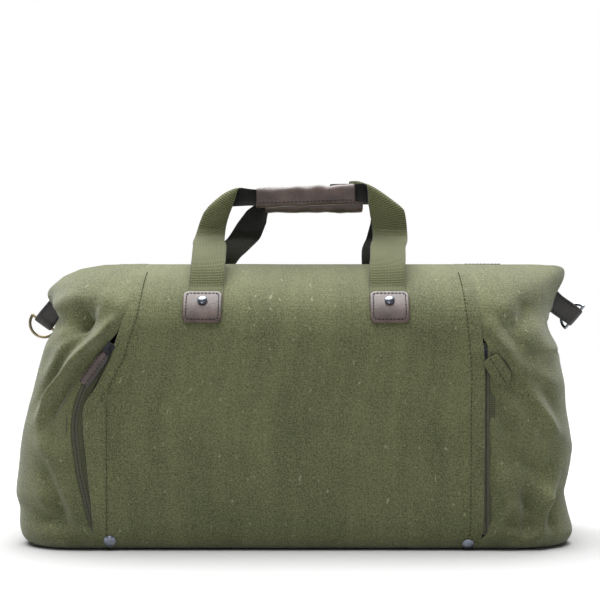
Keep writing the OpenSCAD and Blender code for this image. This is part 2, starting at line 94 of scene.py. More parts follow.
class Finish:
    """One material. Its steady values sit on the shader's own sockets."""

    def __init__(self, name, **steady):
        self.material = bpy.data.materials.new(name)
        self.material.use_nodes = True
        self.tree = self.material.node_tree
        self.shader = self.tree.nodes["Principled BSDF"]
        for socket, value in steady.items():
            self.shader.inputs[socket.replace("_", " ")].default_value = value

    def add(self, kind, settings, *values, **named):
        node = self.tree.nodes.new(kind)
        for key, value in settings.items():
            setattr(node, key, value)
        for key, value in [*enumerate(values), *named.items()]:
            self.feed(node.inputs[key], value)
        return node

    def feed(self, socket, value):
        if isinstance(value, Number):
            value = value.socket
        if isinstance(value, bpy.types.NodeSocket):
            self.tree.links.new(value, socket)
        elif socket.type == "RGBA":
            socket.default_value = (*value, 1)
        elif value is not None:
            socket.default_value = value

    def number(self, kind, settings, *values, out=0, **named):
        return Number(self, self.add(kind, settings, *values, **named).outputs[out])

    def noise(self, at, scale, detail=3.0, rough=0.55):
        return self.number("ShaderNodeTexNoise", {}, Vector=at, Scale=scale, Detail=detail, Roughness=rough)

    def bands(self, direction, at, scale, bend):
        """Straight ridges across one direction, slightly bent."""
        settings = {"bands_direction": direction}
        return self.number("ShaderNodeTexWave", settings, Vector=at, Scale=scale, Distortion=bend, Detail=1.0)

    def place(self, source, stretch=(1, 1, 1)):
        """The piece's own coordinates: its cloth map or its object space, stretched."""
        coords = self.add("ShaderNodeTexCoord", {}).outputs[source]
        return self.add("ShaderNodeMapping", {}, Vector=coords, Scale=stretch).outputs[0]

    def mix(self, factor, one, other, how="MIX"):
        node = self.add("ShaderNodeMix", {"data_type": "RGBA", "blend_type": how, "clamp_factor": True})
        for socket, value in zip((node.inputs[0], node.inputs[6], node.inputs[7]), (factor, one, other)):
            self.feed(socket, value)
        return node.outputs[2]

    def finish(self, colour, rough=None, height=None, depth=0.0003, strength=1.0):
        self.feed(self.shader.inputs["Base Color"], colour)
        if rough is not None:
            self.feed(self.shader.inputs["Roughness"], rough)
        if height is not None:
            bump = self.add("ShaderNodeBump", {}, Strength=strength, Distance=depth, Height=height)
            self.feed(self.shader.inputs["Normal"], bump.outputs[0])
        return self.material


def washed_canvas(name, dark, light, fleck, wear=1.0):
    f = Finish(name, Roughness=0.9, Sheen_Weight=0.25, Sheen_Roughness=0.5, Specular_IOR_Level=0.25)
    cloth = f.place("UV")
    across = f.noise(f.place("UV", (330, 1100, 1)), 1.0, 2.0)
    down = f.noise(f.place("UV", (1100, 330, 1)), 1.0, 2.0)
    slub_across = f.noise(f.place("UV", (60, 560, 1)), 1.0, 2.0)
    slub_down = f.noise(f.place("UV", (560, 60, 1)), 1.0, 2.0)
    speckle = f.noise(f.place("UV", (760, 760, 1)), 1.0, 3.0, 0.7)
    patches = f.noise(cloth, 9.0, 5.0, 0.6)
    streaks = f.noise(f.place("UV", (44, 5.0, 1)), 1.0, 4.0, 0.65)
    flecks = f.noise(f.place("UV", (190, 90, 1)), 1.0, 2.0).between(0.66, 0.76)
    grain = (across + down) * 0.5
    slubs = (slub_across + slub_down) * 0.5
    fine_tone = (grain - 0.5) * 1.5 + (slubs - 0.5) * 0.5 + (speckle - 0.5) * 1.7
    tone = fine_tone + (patches - 0.5) * 0.4 + (streaks - 0.5) * 0.4 + 0.5
    base = f.mix(tone.between(0.05, 0.95), dark, light)
    coloured = f.mix(flecks * (0.4 * wear), base, fleck)
    threads_x, threads_y = f.bands("X", cloth, 190.0, 1.2), f.bands("Y", cloth, 190.0, 1.2)
    height = threads_x * threads_y * 0.5 + grain * 0.9 + slubs * 0.9
    return f.finish(coloured, height=height, depth=0.0007, strength=0.75)


def soft_leather(name, dark, light, grain=520.0, rough=0.42, source="Object"):
    f = Finish(name, Specular_IOR_Level=0.6, Coat_Weight=0.2, Coat_Roughness=0.3)
    at = f.place(source)
    cells = f.number("ShaderNodeTexVoronoi", {"feature": "DISTANCE_TO_EDGE"}, Vector=at, Scale=grain)
    fine = f.noise(at, grain * 2.2, 3.0)
    rubbed = f.noise(at, 45.0, 5.0, 0.6)
    colour = f.mix((rubbed * 0.8 + fine * 0.3).between(0.35, 0.8), dark, light)
    height = cells.between(0.0, 0.12) * 0.6 + fine * 0.4 + rubbed * 0.5
    return f.finish(colour, rubbed * 0.25 + (rough - 0.1), height, 0.0002, 0.6)


def worn_metal(name, tint, rough=0.28, scale=900.0):
    f = Finish(name, Metallic=1.0, Specular_IOR_Level=0.5)
    at = f.place("Object")
    brushed = f.noise(f.place("Object", (1, 1, 9)), scale, 2.0)
    stains = f.noise(at, 120.0, 4.0)
    colour = f.mix(stains.between(0.35, 0.75), tint, tuple(0.55 * c for c in tint))
    return f.finish(colour, brushed * 0.18 + stains * 0.12 + (rough - 0.12), brushed, 0.00004, 0.4)


def ribbed_webbing(name, dark, light):
    f = Finish(name, Roughness=0.85, Sheen_Weight=0.3, Sheen_Roughness=0.4, Specular_IOR_Level=0.3)
    cloth = f.place("UV")
    ribs = f.bands("Y", cloth, 160.0, 0.8)
    columns = f.bands("X", cloth, 200.0, 1.0)
    fuzz = f.noise(cloth, 700.0, 3.0)
    wash = f.noise(cloth, 18.0, 4.0)
    tone = ribs * 0.4 + columns * 0.25 + fuzz * 0.5 + wash * 0.4
    height = ribs * 0.7 + columns * 0.35 + fuzz * 0.3
    return f.finish(f.mix(tone.between(0.35, 1.2), dark, light), height=height, depth=0.0007, strength=0.8)


def plain_thread(name, colour):
    f = Finish(name, Roughness=0.75, Specular_IOR_Level=0.3)
    twist = f.noise(f.place("Object"), 1800.0, 2.0)
    mixed = f.mix(twist.between(0.3, 0.7), colour, tuple(0.6 * c for c in colour))
    return f.finish(mixed, height=twist, depth=0.0001)


def moulded(name, colour, rough=0.5):
    f = Finish(name, Specular_IOR_Level=0.4)
    speck = f.noise(f.place("Object"), 1400.0, 3.0)
    mixed = f.mix(speck.between(0.3, 0.7), colour, tuple(0.7 * c for c in colour))
    return f.finish(mixed, speck * 0.2 + rough, speck, 0.0001, 0.4)


CANVAS = washed_canvas("washed_canvas", (0.042, 0.048, 0.019), (0.185, 0.196, 0.092), (0.42, 0.44, 0.28))
LINING = washed_canvas("lining_twill", (0.035, 0.035, 0.028), (0.075, 0.073, 0.058), (0.1, 0.1, 0.08), 0.3)
WEBBING = ribbed_webbing("olive_webbing", (0.035, 0.038, 0.014), (0.17, 0.178, 0.08))
# The handle straps' inner face: near-black, painted shade for the deep shadow on the insides of the olive
# straps.
SHADED_WEBBING_FACE = ribbed_webbing("webbing_inner_painted_shade", (0.008, 0.008, 0.008), (0.02, 0.02, 0.019))
TAPE = ribbed_webbing("zip_tape_weave", (0.034, 0.037, 0.019), (0.11, 0.116, 0.062))
LEATHER = soft_leather("brown_leather", (0.034, 0.02, 0.016), (0.115, 0.075, 0.062))
# Near-black leather for the ring loops; on the pullers' lower layer it is painted shade for the shadowed
# underside.
DARK_LEATHER_AND_SHADE = soft_leather("dark_leather", (0.012, 0.011, 0.011), (0.04, 0.036, 0.034))
STEEL = worn_metal("gunmetal", (0.3, 0.325, 0.39), 0.22)
BRASS = worn_metal("dark_brass", (0.3, 0.25, 0.15))
TEETH = moulded("zip_teeth", (0.1, 0.1, 0.066), 0.35)
BOARD = moulded("base_board", (0.02, 0.02, 0.02), 0.6)
OLIVE_THREAD = plain_thread("olive_thread", (0.045, 0.048, 0.022))
BLACK_THREAD = plain_thread("black_thread", (0.012, 0.011, 0.011))


# ---------------------------------------------------------------- making sheets, ribbons and rows

def piece(name, points, faces, material, uv=None, soft=True):
    """A mesh from points in millimetres, with its cloth map where one is given."""
    mesh = bpy.data.meshes.new(name)
    mesh.from_pydata([tuple(p) for p in np.asarray(points) * MM], [], faces)
    mesh.materials.append(material)
    if uv is not None:
        layer = mesh.uv_layers.new(name="cloth")
        flat = np.asarray(uv) * MM
        loops = np.zeros(len(mesh.loops), int)
        mesh.loops.foreach_get("vertex_index", loops)
        layer.data.foreach_set("uv", flat[loops].ravel())
    mesh.polygons.foreach_set("use_smooth", [soft] * len(mesh.polygons))
    obj = bpy.data.objects.new(name, mesh)
    bpy.context.scene.collection.objects.link(obj)
    return obj


def grid_faces(rows, columns, closed=False, flip=False):
    faces = []
    for i in range(rows - 1):
        for j in range(columns if closed else columns - 1):
            k = (j + 1) % columns
            face = (i * columns + j, i * columns + k, (i + 1) * columns + k, (i + 1) * columns + j)
            faces.append(face[::-1] if flip else face)
    return faces


def cloth_lengths(points):
    """The flat map of a grid of points: lengths along its rows and columns, in millimetres."""
    across = np.linalg.norm(np.diff(points, axis=1), axis=2)
    down = np.linalg.norm(np.diff(points, axis=0), axis=2)
    u = np.concatenate([np.zeros((points.shape[0], 1)), np.cumsum(across, 1)], 1)
    v = np.concatenate([np.zeros((1, points.shape[1])), np.cumsum(down, 0)], 0)
    u = u - u[:, u.shape[1] // 2][:, None] + 300.0
    even_u = u.mean(0)[None, :].repeat(len(u), 0)
    even_v = v.mean(1)[:, None].repeat(u.shape[1], 1)
    return np.stack([even_u * 0.5 + u * 0.5, even_v], 2)


def thicken(obj, thickness, inward=True, levels=0):
    """Gives a sheet its wall and, where asked, finer faces."""
    wall = obj.modifiers.new("wall", "SOLIDIFY")
    wall.thickness = thickness * MM
    wall.offset = -1.0 if inward else 1.0
    if levels:
        fine = obj.modifiers.new("fine", "SUBSURF")
        fine.levels = fine.render_levels = levels
    return obj


def sheet(name, points, material, thickness=1.2, flip=False, levels=1, lining=None):
    """A cloth piece from a grid of points, rows going up and columns going across."""
    rows, columns = points.shape[:2]
    faces = grid_faces(rows, columns, flip=flip)
    obj = piece(name, points.reshape(-1, 3), faces, material, cloth_lengths(points).reshape(-1, 2))
    thicken(obj, thickness, levels=levels)
    if lining:
        obj.data.materials.append(lining)
        obj.modifiers["wall"].material_offset = 1
    return obj


def settle(obj):
    """Applies the modifiers of a piece, so that its mesh is final."""
    evaluated = obj.evaluated_get(bpy.context.evaluated_depsgraph_get())
    mesh = bpy.data.meshes.new_from_object(evaluated)
    obj.modifiers.clear()
    obj.data = mesh
    return obj


def run_along(line):
    """The length from a line's start to each of its points."""
    return np.concatenate([[0], np.cumsum(np.linalg.norm(np.diff(line, axis=0), axis=1))])


def at_lengths(line, run, wanted):
    """The points of a line at the wanted lengths from its start."""
    return np.stack([np.interp(wanted, run, line[:, k]) for k in range(line.shape[1])], 1)


def unit(vectors, least=1e-9):
    return vectors / np.maximum(np.linalg.norm(vectors, axis=-1, keepdims=True), least)


def smooth(low, high, x):
    t = np.clip((np.asarray(x, float) - low) / (high - low), 0, 1)
    return t * t * (3 - 2 * t)


def route(points, count):
    """A smooth line through points, evenly spaced."""
    p = np.asarray(points, float)
    pad = np.vstack([2 * p[0] - p[1], p, 2 * p[-1] - p[-2]])
    line = []
    for i in range(1, len(pad) - 2):
        t = np.linspace(0, 1, 24, endpoint=i == len(pad) - 3)[:, None]
        a, b, c, d = pad[i - 1:i + 3]
        square, cube = 2 * a - 5 * b + 4 * c - d, 3 * b - a - 3 * c + d
        line.append(0.5 * (2 * b + (c - a) * t + square * t**2 + cube * t**3))
    line = np.vstack(line)
    run = run_along(line)
    return at_lengths(line, run, np.linspace(0, run[-1], count))


# How many waves a ruffle sums, and what brings their sum to about one.
RUFFLE_WAVES, RUFFLE_SHARE = 14, 4


def ruffle(points, size, seed, scale=0.035):
    """Soft unevenness of worn cloth: a field of slow waves, the same on every run."""
    rng = np.random.default_rng(seed)
    total = np.zeros(points.shape[:2])
    for _ in range(RUFFLE_WAVES):
        direction = rng.normal(size=3)
        direction *= scale * rng.uniform(0.5, 1.6) / np.linalg.norm(direction)
        total += np.sin(points @ direction + rng.uniform(0, 6.28)) * rng.uniform(0.4, 1)
    return size * total / RUFFLE_SHARE


# ---------------------------------------------------------------- rows: stitches and teeth by node trees

def node_tree(name, inputs):
    tree = bpy.data.node_groups.new(name, "GeometryNodeTree")
    tree.interface.new_socket("Geometry", in_out="INPUT", socket_type="NodeSocketGeometry")
    for label, (kind, value) in inputs.items():
        socket = tree.interface.new_socket(label, in_out="INPUT", socket_type=kind)
        if value is not None:
            socket.default_value = value
    tree.interface.new_socket("Geometry", in_out="OUTPUT", socket_type="NodeSocketGeometry")
    return tree, tree.nodes.new("NodeGroupInput"), tree.nodes.new("NodeGroupOutput")


def row_tree(name, shape, sizes, jitter):
    """Repeats a small shape along a line, its length along the line and its back to the piece."""
    inputs = {
        "Pitch": ("NodeSocketFloat", 0.004),
        "Size": ("NodeSocketVector", sizes),
        "Facing": ("NodeSocketVector", (0, -1, 0)),
        "Unevenness": ("NodeSocketFloat", jitter),
        "Material": ("NodeSocketMaterial", None),
    }
    tree, start, end = node_tree(name, inputs)

    def add(kind, settings=None, **links):
        node = tree.nodes.new(kind)
        for key, value in (settings or {}).items():
            setattr(node, key, value)
        for key, value in links.items():
            by_number = key[0] == "i" and key[1:].isdigit()
            socket = node.inputs[int(key[1:]) if by_number else key.replace("_", " ")]
            if isinstance(value, bpy.types.NodeSocket):
                tree.links.new(value, socket)
            else:
                socket.default_value = value
        return node

    line = add("GeometryNodeMeshToCurve", i0=start.outputs["Geometry"])
    pitch = start.outputs["Pitch"]
    dots = add("GeometryNodeCurveToPoints", {"mode": "LENGTH"}, Curve=line.outputs[0], Length=pitch)
    if shape == "stitch":
        unit = add("GeometryNodeMeshUVSphere", Segments=6, Rings=5, Radius=0.5)
    else:
        unit = add("GeometryNodeMeshCube", Size=(1, 1, 1), Vertices_X=2, Vertices_Y=2, Vertices_Z=2)
    up = add("FunctionNodeAlignRotationToVector", {"axis": "Z"}, Vector=start.outputs["Facing"])
    turned = {"axis": "X", "pivot_axis": "Z"}
    tangent = dots.outputs["Tangent"]
    along = add("FunctionNodeAlignRotationToVector", turned, Rotation=up.outputs[0], Vector=tangent)
    low = add("ShaderNodeMath", {"operation": "SUBTRACT"}, i0=1.0, i1=start.outputs["Unevenness"])
    high = add("ShaderNodeMath", {"operation": "ADD"}, i0=1.0, i1=start.outputs["Unevenness"])
    vary = add("FunctionNodeRandomValue", Seed=7)
    floats = [s for s in vary.inputs if s.type == "VALUE" and s.name in ("Min", "Max") and s.enabled]
    tree.links.new(low.outputs[0], floats[0])
    tree.links.new(high.outputs[0], floats[1])
    amount = next(s for s in vary.outputs if s.type == "VALUE" and s.enabled)
    scale = add("ShaderNodeVectorMath", {"operation": "SCALE"}, i0=start.outputs["Size"], Scale=amount)
    copies = add("GeometryNodeInstanceOnPoints", Points=dots.outputs["Points"], Instance=unit.outputs["Mesh"],
                 Rotation=along.outputs[0], Scale=scale.outputs[0])
    real = add("GeometryNodeRealizeInstances", Geometry=copies.outputs[0])
    painted = add("GeometryNodeSetMaterial", Geometry=real.outputs[0], Material=start.outputs["Material"])
    shaded = add("GeometryNodeSetShadeSmooth", {}, Geometry=painted.outputs[0])
    shaded.inputs["Shade Smooth"].default_value = shape == "stitch"
    tree.links.new(shaded.outputs[0], end.inputs[0])
    return tree


STITCHES = row_tree("stitch_row", "stitch", (0.0034, 0.001, 0.0009), 0.08)
TOOTH_ROW = row_tree("tooth_row", "tooth", (0.0014, 0.0026, 0.0023), 0.0)


def row(name, lines, tree, material, **values):
    """Runs a row tree along one or more lines of points, in millimetres, and keeps the plain mesh."""
    points, edges = [], []
    for line in lines:
        first = len(points)
        points += [tuple(p) for p in np.asarray(line) * MM]
        edges += [(first + k, first + k + 1) for k in range(len(line) - 1)]
    mesh = bpy.data.meshes.new(name)
    mesh.from_pydata(points, edges, [])
    obj = bpy.data.objects.new(name, mesh)
    bpy.context.scene.collection.objects.link(obj)
    grow = obj.modifiers.new("grow", "NODES")
    grow.node_group = tree
    for label, value in {"Material": material, **values}.items():
        grow[tree.interface.items_tree[label].identifier] = value
    bpy.context.view_layer.update()
    return settle(obj)


# ---------------------------------------------------------------- the body's surface

# Heights, then distances from the middle: the two ends' bulge and the front panel's two edges.
LEFT_END = ([0, 6, 16, 37, 50, 97, 143, 156, 192, 215, 234],
            [268, 277, 284, 283, 287, 285, 277, 273, 263, 257, 253])
RIGHT_END = ([0, 3, 13, 30, 53, 84, 100, 143, 186, 215, 234],
             [270, 279, 286, 281, 277, 284, 284, 278, 273, 269, 269])
LEFT_EDGE = ([0, 19, 35, 46, 68, 97, 113, 138, 149, 162,
              177, 192, 203, 209, 220, 235, 250, 274, 289],
             [199, 202.7, 203.7, 204.8, 207.3, 210, 212.2, 213, 210, 200.3,
              193, 185, 182.2, 180.5, 176.6, 172.5, 170, 167.6, 165])
RIGHT_EDGE = ([0, 5, 20, 150, 172, 190, 201, 219, 250, 276, 289],
              [181, 182, 187.5, 188.5, 189, 188, 187.3, 185.5, 183, 181, 176])
# How far the left pocket zip leaves its arc, by angle; and the ridge's height by x.
ZIP_BOW = ([142, 146, 152, 165, 172, 182, 195, 203, 206], [0, 0, 1.5, 4.2, 3, -2, -4, -1.5, 0])
RIDGE_LINE = ([-264, -256, -247, -229, -204, -168, 0, 168, 204, 250, 276, 285],
              [258, 267, 275, 283, 287.5, 288.5, 288.5, 288.5, 288, 287.5, 286.5, 284])


def levels_up():
    """The rows of the skin from under the bag to the ridge: kind and amount."""
    under = [("under", inset) for inset in (40, 28, 20)]
    rounding = [("round", q) for q in np.linspace(0, 90, 7)]
    wall = [("wall", z) for z in np.arange(EDGE + 4, SHOULDER - 1, 4.0)]
    roof = [("roof", s) for s in np.linspace(0, 86.6, 30)]
    return under + rounding + wall + roof


LEVELS = levels_up()


# Where the plan corner starts and ends along the line. Where the roof's points start in x, and its rise.
CORNER_START, CORNER_END = 0.2, 0.45
LENS_X, ROOF_RISE = 196.0, 73


def outline(side, level, t, inset=0.0):
    """Half of the front's plan line at one level. t goes from the end's middle, 0, to the bag's middle, 1."""
    kind, amount = level
    ends, tip, waist = (LEFT_END, 263.0, 254.0) if side < 0 else (RIGHT_END, 285.0, 268.0)
    z, pull, roof = SHOULDER, inset, 0.0
    if kind == "under":
        z, pull = 0.0, inset + amount
    elif kind == "round":
        z = EDGE * (1 - math.cos(math.radians(amount)))
        pull = inset + EDGE * (1 - math.sin(math.radians(amount)))
    elif kind == "wall":
        z = amount
    else:
        roof = math.radians(amount)
    below = kind in ("under", "round")
    a = np.interp(EDGE if below else z, *ends) - pull
    b = (DEPTH - inset) * math.cos(roof) if kind == "roof" else DEPTH - pull
    r = max(CORNER - pull, 12)
    if kind == "roof":
        s = math.sin(roof)
        a = a + (waist - a) * smooth(0, 0.35, s) + (tip - waist) * smooth(0.3, 1.0, s)
    t = np.asarray(t, float)
    t1, t2 = CORNER_START, CORNER_END
    corner = math.radians(90) * np.clip((t - t1) / (t2 - t1), 0, 1)
    to_middle = 1 - (t - t2) / (1 - t2)
    x_box = np.where(t < t1, a, np.where(t < t2, a - r + r * np.cos(corner), (a - r) * to_middle))
    y_box = np.where(t < t1, (b - r) * t / t1, np.where(t < t2, b - r + r * np.sin(corner), b))
    lens = np.clip(t / t2, 0, 1) * math.pi / 2
    x_lens = np.where(t < t2, a + (LENS_X - a) * (1 - np.cos(lens)) ** 0.85, LENS_X * to_middle)
    y_lens = b * np.sin(lens) ** 0.85
    height = SHOULDER + ROOF_RISE * math.sin(roof) if kind == "roof" else z
    w = float(smooth(196, 243, height))
    x = side * (x_box * (1 - w) + x_lens * w)
    y = y_box * (1 - w) + y_lens * w
    if kind == "roof":
        closed = smooth(244, 255, np.abs(x)) if side < 0 else smooth(256, 270, np.abs(x))
        y = y * (1 - 0.92 * float(smooth(76, 85, amount)) * closed)
        z_line = SHOULDER + (np.interp(x, *RIDGE_LINE) - SHOULDER - inset) * math.sin(roof)
    else:
        z_line = np.full_like(x, z + (inset if below else 0))
    return np.stack([x, -y, z_line], -1)


T_LINE = np.concatenate([np.linspace(0, CORNER_END, 60), np.linspace(CORNER_END, 1, 61)[1:]])


def skin(side, inset=0.0):
    """Dense points of a quarter of the skin, rows going up."""
    return np.array([outline(side, level, T_LINE, inset) for level in LEVELS])


def row_between(line, x_from, x_to, count):
    """Cuts one row of the skin between two places of x and spaces it evenly."""
    run = run_along(line)
    order = np.argsort(line[:, 0])
    at = np.interp([x_from, x_to], line[order, 0], run[order])
    return at_lengths(line, run, np.linspace(at[0], at[1], count))


def hump(x, centre, width):
    """A smooth bump of height one."""
    return np.exp(-(((x - centre) / width) ** 2))


# The folds of the ends, drawn in x and z: line, height, width.
FOLDS = [
    ([(-186, 226), (-202, 208), (-212, 197), (-219, 188), (-230, 173), (-250, 147), (-264, 126)], 9.5, 5.0),
    ([(-201, 205), (-210, 192), (-217, 182), (-225, 170), (-234, 155), (-243, 138)], -4.5, 3.4),
    ([(-212, 206), (-222, 190), (-233, 172), (-248, 150)], 6.0, 4.4),
    ([(-206, 238), (-216, 231), (-224, 221)], -24.0, 14.0),
    ([(-238, 226), (-229, 208), (-236, 190), (-250, 172)], 5.0, 7.0),
    ([(-190, 262), (-194, 244), (-198, 228)], 4.0, 7.0),
    ([(-262, 256), (-250, 239), (-240, 228), (-226, 222)], -3.0, 5.0),
    ([(-236, 66), (-218, 34), (-204, 8)], 6.0, 7.0),
    ([(-252, 86), (-240, 60), (-232, 30)], -6.0, 9.0),
    ([(-276, 44), (-256, 32), (-240, 30)], -7.5, 9.0),
    ([(-270, 120), (-250, 96), (-238, 62)], 5.5, 11.0),
    ([(-206, 120), (-222, 104), (-236, 88)], 3.5, 9.0),
    ([(196, 222), (213, 188), (228, 163), (245, 138), (262, 118), (282, 100)], 8.0, 7.0),
    ([(204, 196), (220, 168), (232, 146)], -6.0, 8.0),
    ([(202, 210), (222, 186), (246, 172), (268, 166)], 3.5, 8.0),
    ([(284, 98), (262, 73), (246, 46), (240, 20)], 9.0, 6.5),
    ([(205, 104), (226, 92), (246, 80)], -9.0, 14.0),
    ([(226, 62), (238, 34), (233, 16)], -10.0, 8.5),
    ([(200, 152), (206, 132), (216, 116)], -9.0, 9.0),
    ([(246, 60), (249, 40), (246, 20)], 4.0, 4.0),
    ([(268, 60), (258, 34), (262, 12)], -6.0, 9.0),
    ([(196, 56), (193, 50)], -2.5, 7.0),
    ([(214, 40), (200, 22), (188, 6)], 4.5, 5.0),
    ([(196, 20), (230, 9), (262, 16)], 4.5, 6.0),
    ([(236, 250), (228, 232), (214, 222)], -6.0, 10.0),
]


def nearest_on(line, x, z):
    """For each x and z: the distance from a line, how far along the line that is, and on which side."""
    p = np.array(line, float)
    nearest, along, hand = np.full(x.shape, 1e9), np.zeros_like(x), np.ones_like(x)
    for k in range(len(p) - 1):
        a, d = p[k], p[k + 1] - p[k]
        t = np.clip(((x - a[0]) * d[0] + (z - a[1]) * d[1]) / (d @ d), 0, 1)
        gap = np.hypot(x - a[0] - t * d[0], z - a[1] - t * d[1])
        closer = gap < nearest
        along = np.where(closer, (k + t) / (len(p) - 1), along)
        hand = np.where(closer, np.sign((x - a[0]) * d[1] - (z - a[1]) * d[0]), hand)
        nearest = np.minimum(gap, nearest)
    return nearest, along, hand


def fold_height(x, z):
    """How far the folds lift the ends' cloth at each x and z."""
    total = np.zeros_like(x)
    for line, height, width in FOLDS:
        nearest, along = nearest_on(line, x, z)[:2]
        ends = smooth(-0.05, 0.18, along) * smooth(1.05, 0.82, along) * 0.6 + 0.4
        crest = np.exp(-((nearest / width) ** 1.4))
        valleys = 0.35 * hump(nearest, 1.9 * width, width)
        total += height * (crest - valleys) * ends
    return total * (1 - 0.8 * smooth(250, 268, np.abs(x)))


EAR_EDGE = {
    -1: [(-267, 263), (-258, 247), (-249, 236), (-241, 228), (-232, 221)],
    1: [(289, 290), (281, 262), (274, 247), (264, 234), (257, 222), (252, 206)],
}


def ear_lip(side, x, z):
    """The folded top stands proud of the end below it along a slanting edge."""
    nearest, along, hand = nearest_on(EAR_EDGE[side], x, z)
    above = side * hand > 0
    step = np.where(above, 3.6 * np.exp(-nearest / 14), -4.2 * np.exp(-nearest / 8))
    return step * smooth(1.0, 0.55, along)


def normals(points):
    du = np.gradient(points, axis=1)
    dv = np.gradient(points, axis=0)
    return unit(np.cross(du, dv))


def curved_zip(out, first=142.2, last=206.0, count=90):
    """The left pocket's zip line in x and z, moved outwards by a distance."""
    turn = np.linspace(first, last, count)
    reach = ARC_R + out + np.interp(turn, *ZIP_BOW)
    return np.stack([ARC_X + reach * np.cos(np.radians(turn)), ARC_Z + reach * np.sin(np.radians(turn))], 1)


def gusset_edge(side, z):
    """Where the end's canvas starts beside the front panel."""
    if side > 0:
        return float(np.interp(z, [0, 8, 16, 206, 222, 289], [172, 178, 190.8, 190.8, 178, 160]))
    line = curved_zip(3.7)[::-1]
    by_zip, zip_top = np.interp([z, 203], line[:, 1], -line[:, 0])
    if z < 10:
        return float(np.interp(z, [0, 10], [190, 196]))
    if z < 24:
        return float(np.interp(z, [10, 24], [196, by_zip]))
    if z < 203:
        return float(by_zip)
    return float(np.interp(z, [203, 220, 236, 289], [zip_top, 176, 164, 150]))


# The end canvas's columns at the front and the back.
FRONT_COLUMNS, BACK_COLUMNS = 46, 40
# The point of a row, well past the corner, where the roof's height is read.
MIDDLE_POINT = 90
# The end canvas's back edge in x, and the cloth's least height.
BACK_EDGE = 172.0
LEAST_HEIGHT = 0.35


def end_canvas(side):
    """The canvas round one end of the bag with its folds, front edge to back edge, and its middle column."""
    skin_rows, rows = skin(side), []
    for level, line in zip(LEVELS, skin_rows):
        z = line[MIDDLE_POINT if level[0] == "roof" else 0, 2]
        front = row_between(line, side * gusset_edge(side, z), line[0, 0], FRONT_COLUMNS)
        back_line = line * [1, -1, 1]
        back = row_between(back_line, line[0, 0], side * BACK_EDGE, BACK_COLUMNS)
        front[-1] = back[0] = line[0]
        rows.append(np.vstack([front, back[1:]]))
    points = np.array(rows)
    n = normals(points)
    out = n * np.sign((n[..., 0] * side).mean())
    x, y, z = points[..., 0], points[..., 1], points[..., 2]
    at_front = smooth(20, -30, y)
    height = fold_height(x, z) * at_front
    height += fold_height(x * 0.97 + 5, z * 0.96 + 7) * (1 - at_front) * 0.9
    keep = smooth(0, 22, z) * smooth(262, 240, z) * 0.8 + 0.2
    height += ruffle(points, 1.5, 3 + side, 0.045) + ruffle(points, 1.0, 9 + side, 0.1) * smooth(0, 30, z)
    from_edge = np.abs(x) - np.array([gusset_edge(side, v) for v in z[:, 0]])[:, None]
    edge = np.where(y > 0, 1.0, smooth(0, 16, from_edge))
    if side < 0:
        by_ring = hump(y, 0, 30) * hump(z, 217, 22)
        height = height * (1 - 0.85 * by_ring) - 6.0 * by_ring
    groove = np.where(y < 0, -1.5, 0.0) * smooth(9, 2, from_edge) * smooth(10, 30, z)
    if side < 0:
        groove = groove * (smooth(196, 214, z) + smooth(34, 20, z))
    off_floor = smooth(0.5, 14, z)
    seam = 1 - 0.8 * hump(y, 0, 10) * smooth(236, 250, z)
    lip = ear_lip(side, x, z) * smooth(4, -8, y)
    if side > 0:
        lip = lip + 5.0 * hump(z, 199, 12) * smooth(14, 3, from_edge) * smooth(20, -30, y)
    lip = lip * np.maximum(edge, smooth(230, 205, z))
    points = points + out * (height * keep * edge * off_floor * seam + 0.5 + groove + lip)[..., None]
    points[..., 2] = np.maximum(points[..., 2], LEAST_HEIGHT)
    return points, FRONT_COLUMNS - 1


def front_row(level, inset=0.0):
    """The whole front half of the plan line at one level, from the left end's middle to the right end's."""
    left, right = outline(-1, level, T_LINE, inset), outline(1, level, T_LINE, inset)
    return np.vstack([left, right[::-1][1:]])


def panel_hem(depth, drop, stitch_drop, stitch_width, near):
    """A hem's thickness by the distance from its edge: doubled, then single, with its seam pressed in."""
    return depth - drop * smooth(12.5, 17, near) - stitch_drop * hump(near, SEAM_IN, stitch_width)


def raised(points, height, way):
    """A panel's points moved outwards by a height. way is -1 for the front and 1 for the back."""
    n = normals(points)
    out = n * np.sign(way * n[len(n) // 2, n.shape[1] // 2, 1])
    points = points + out * height[..., None]
    points[..., 2] = np.maximum(points[..., 2], LEAST_HEIGHT)
    return points, out


# The hem seam's distance from the edge, the height it stops at, and the height up to which the panels bow.
SEAM_IN, SEAM_TOP, BOW_TOP = 13.5, 279, 232
# Up to one height the front's left seam is straight, at one x. The height where the roof begins.
STRAIGHT_TOP, STRAIGHT_X, ROOF_START = 150, -189, 214
# Columns of both panels, and the back panel's edges in x.
FRONT_ACROSS, BACK_ACROSS = 136, 90
BACK_LEFT, BACK_RIGHT = -192.0, 184.0


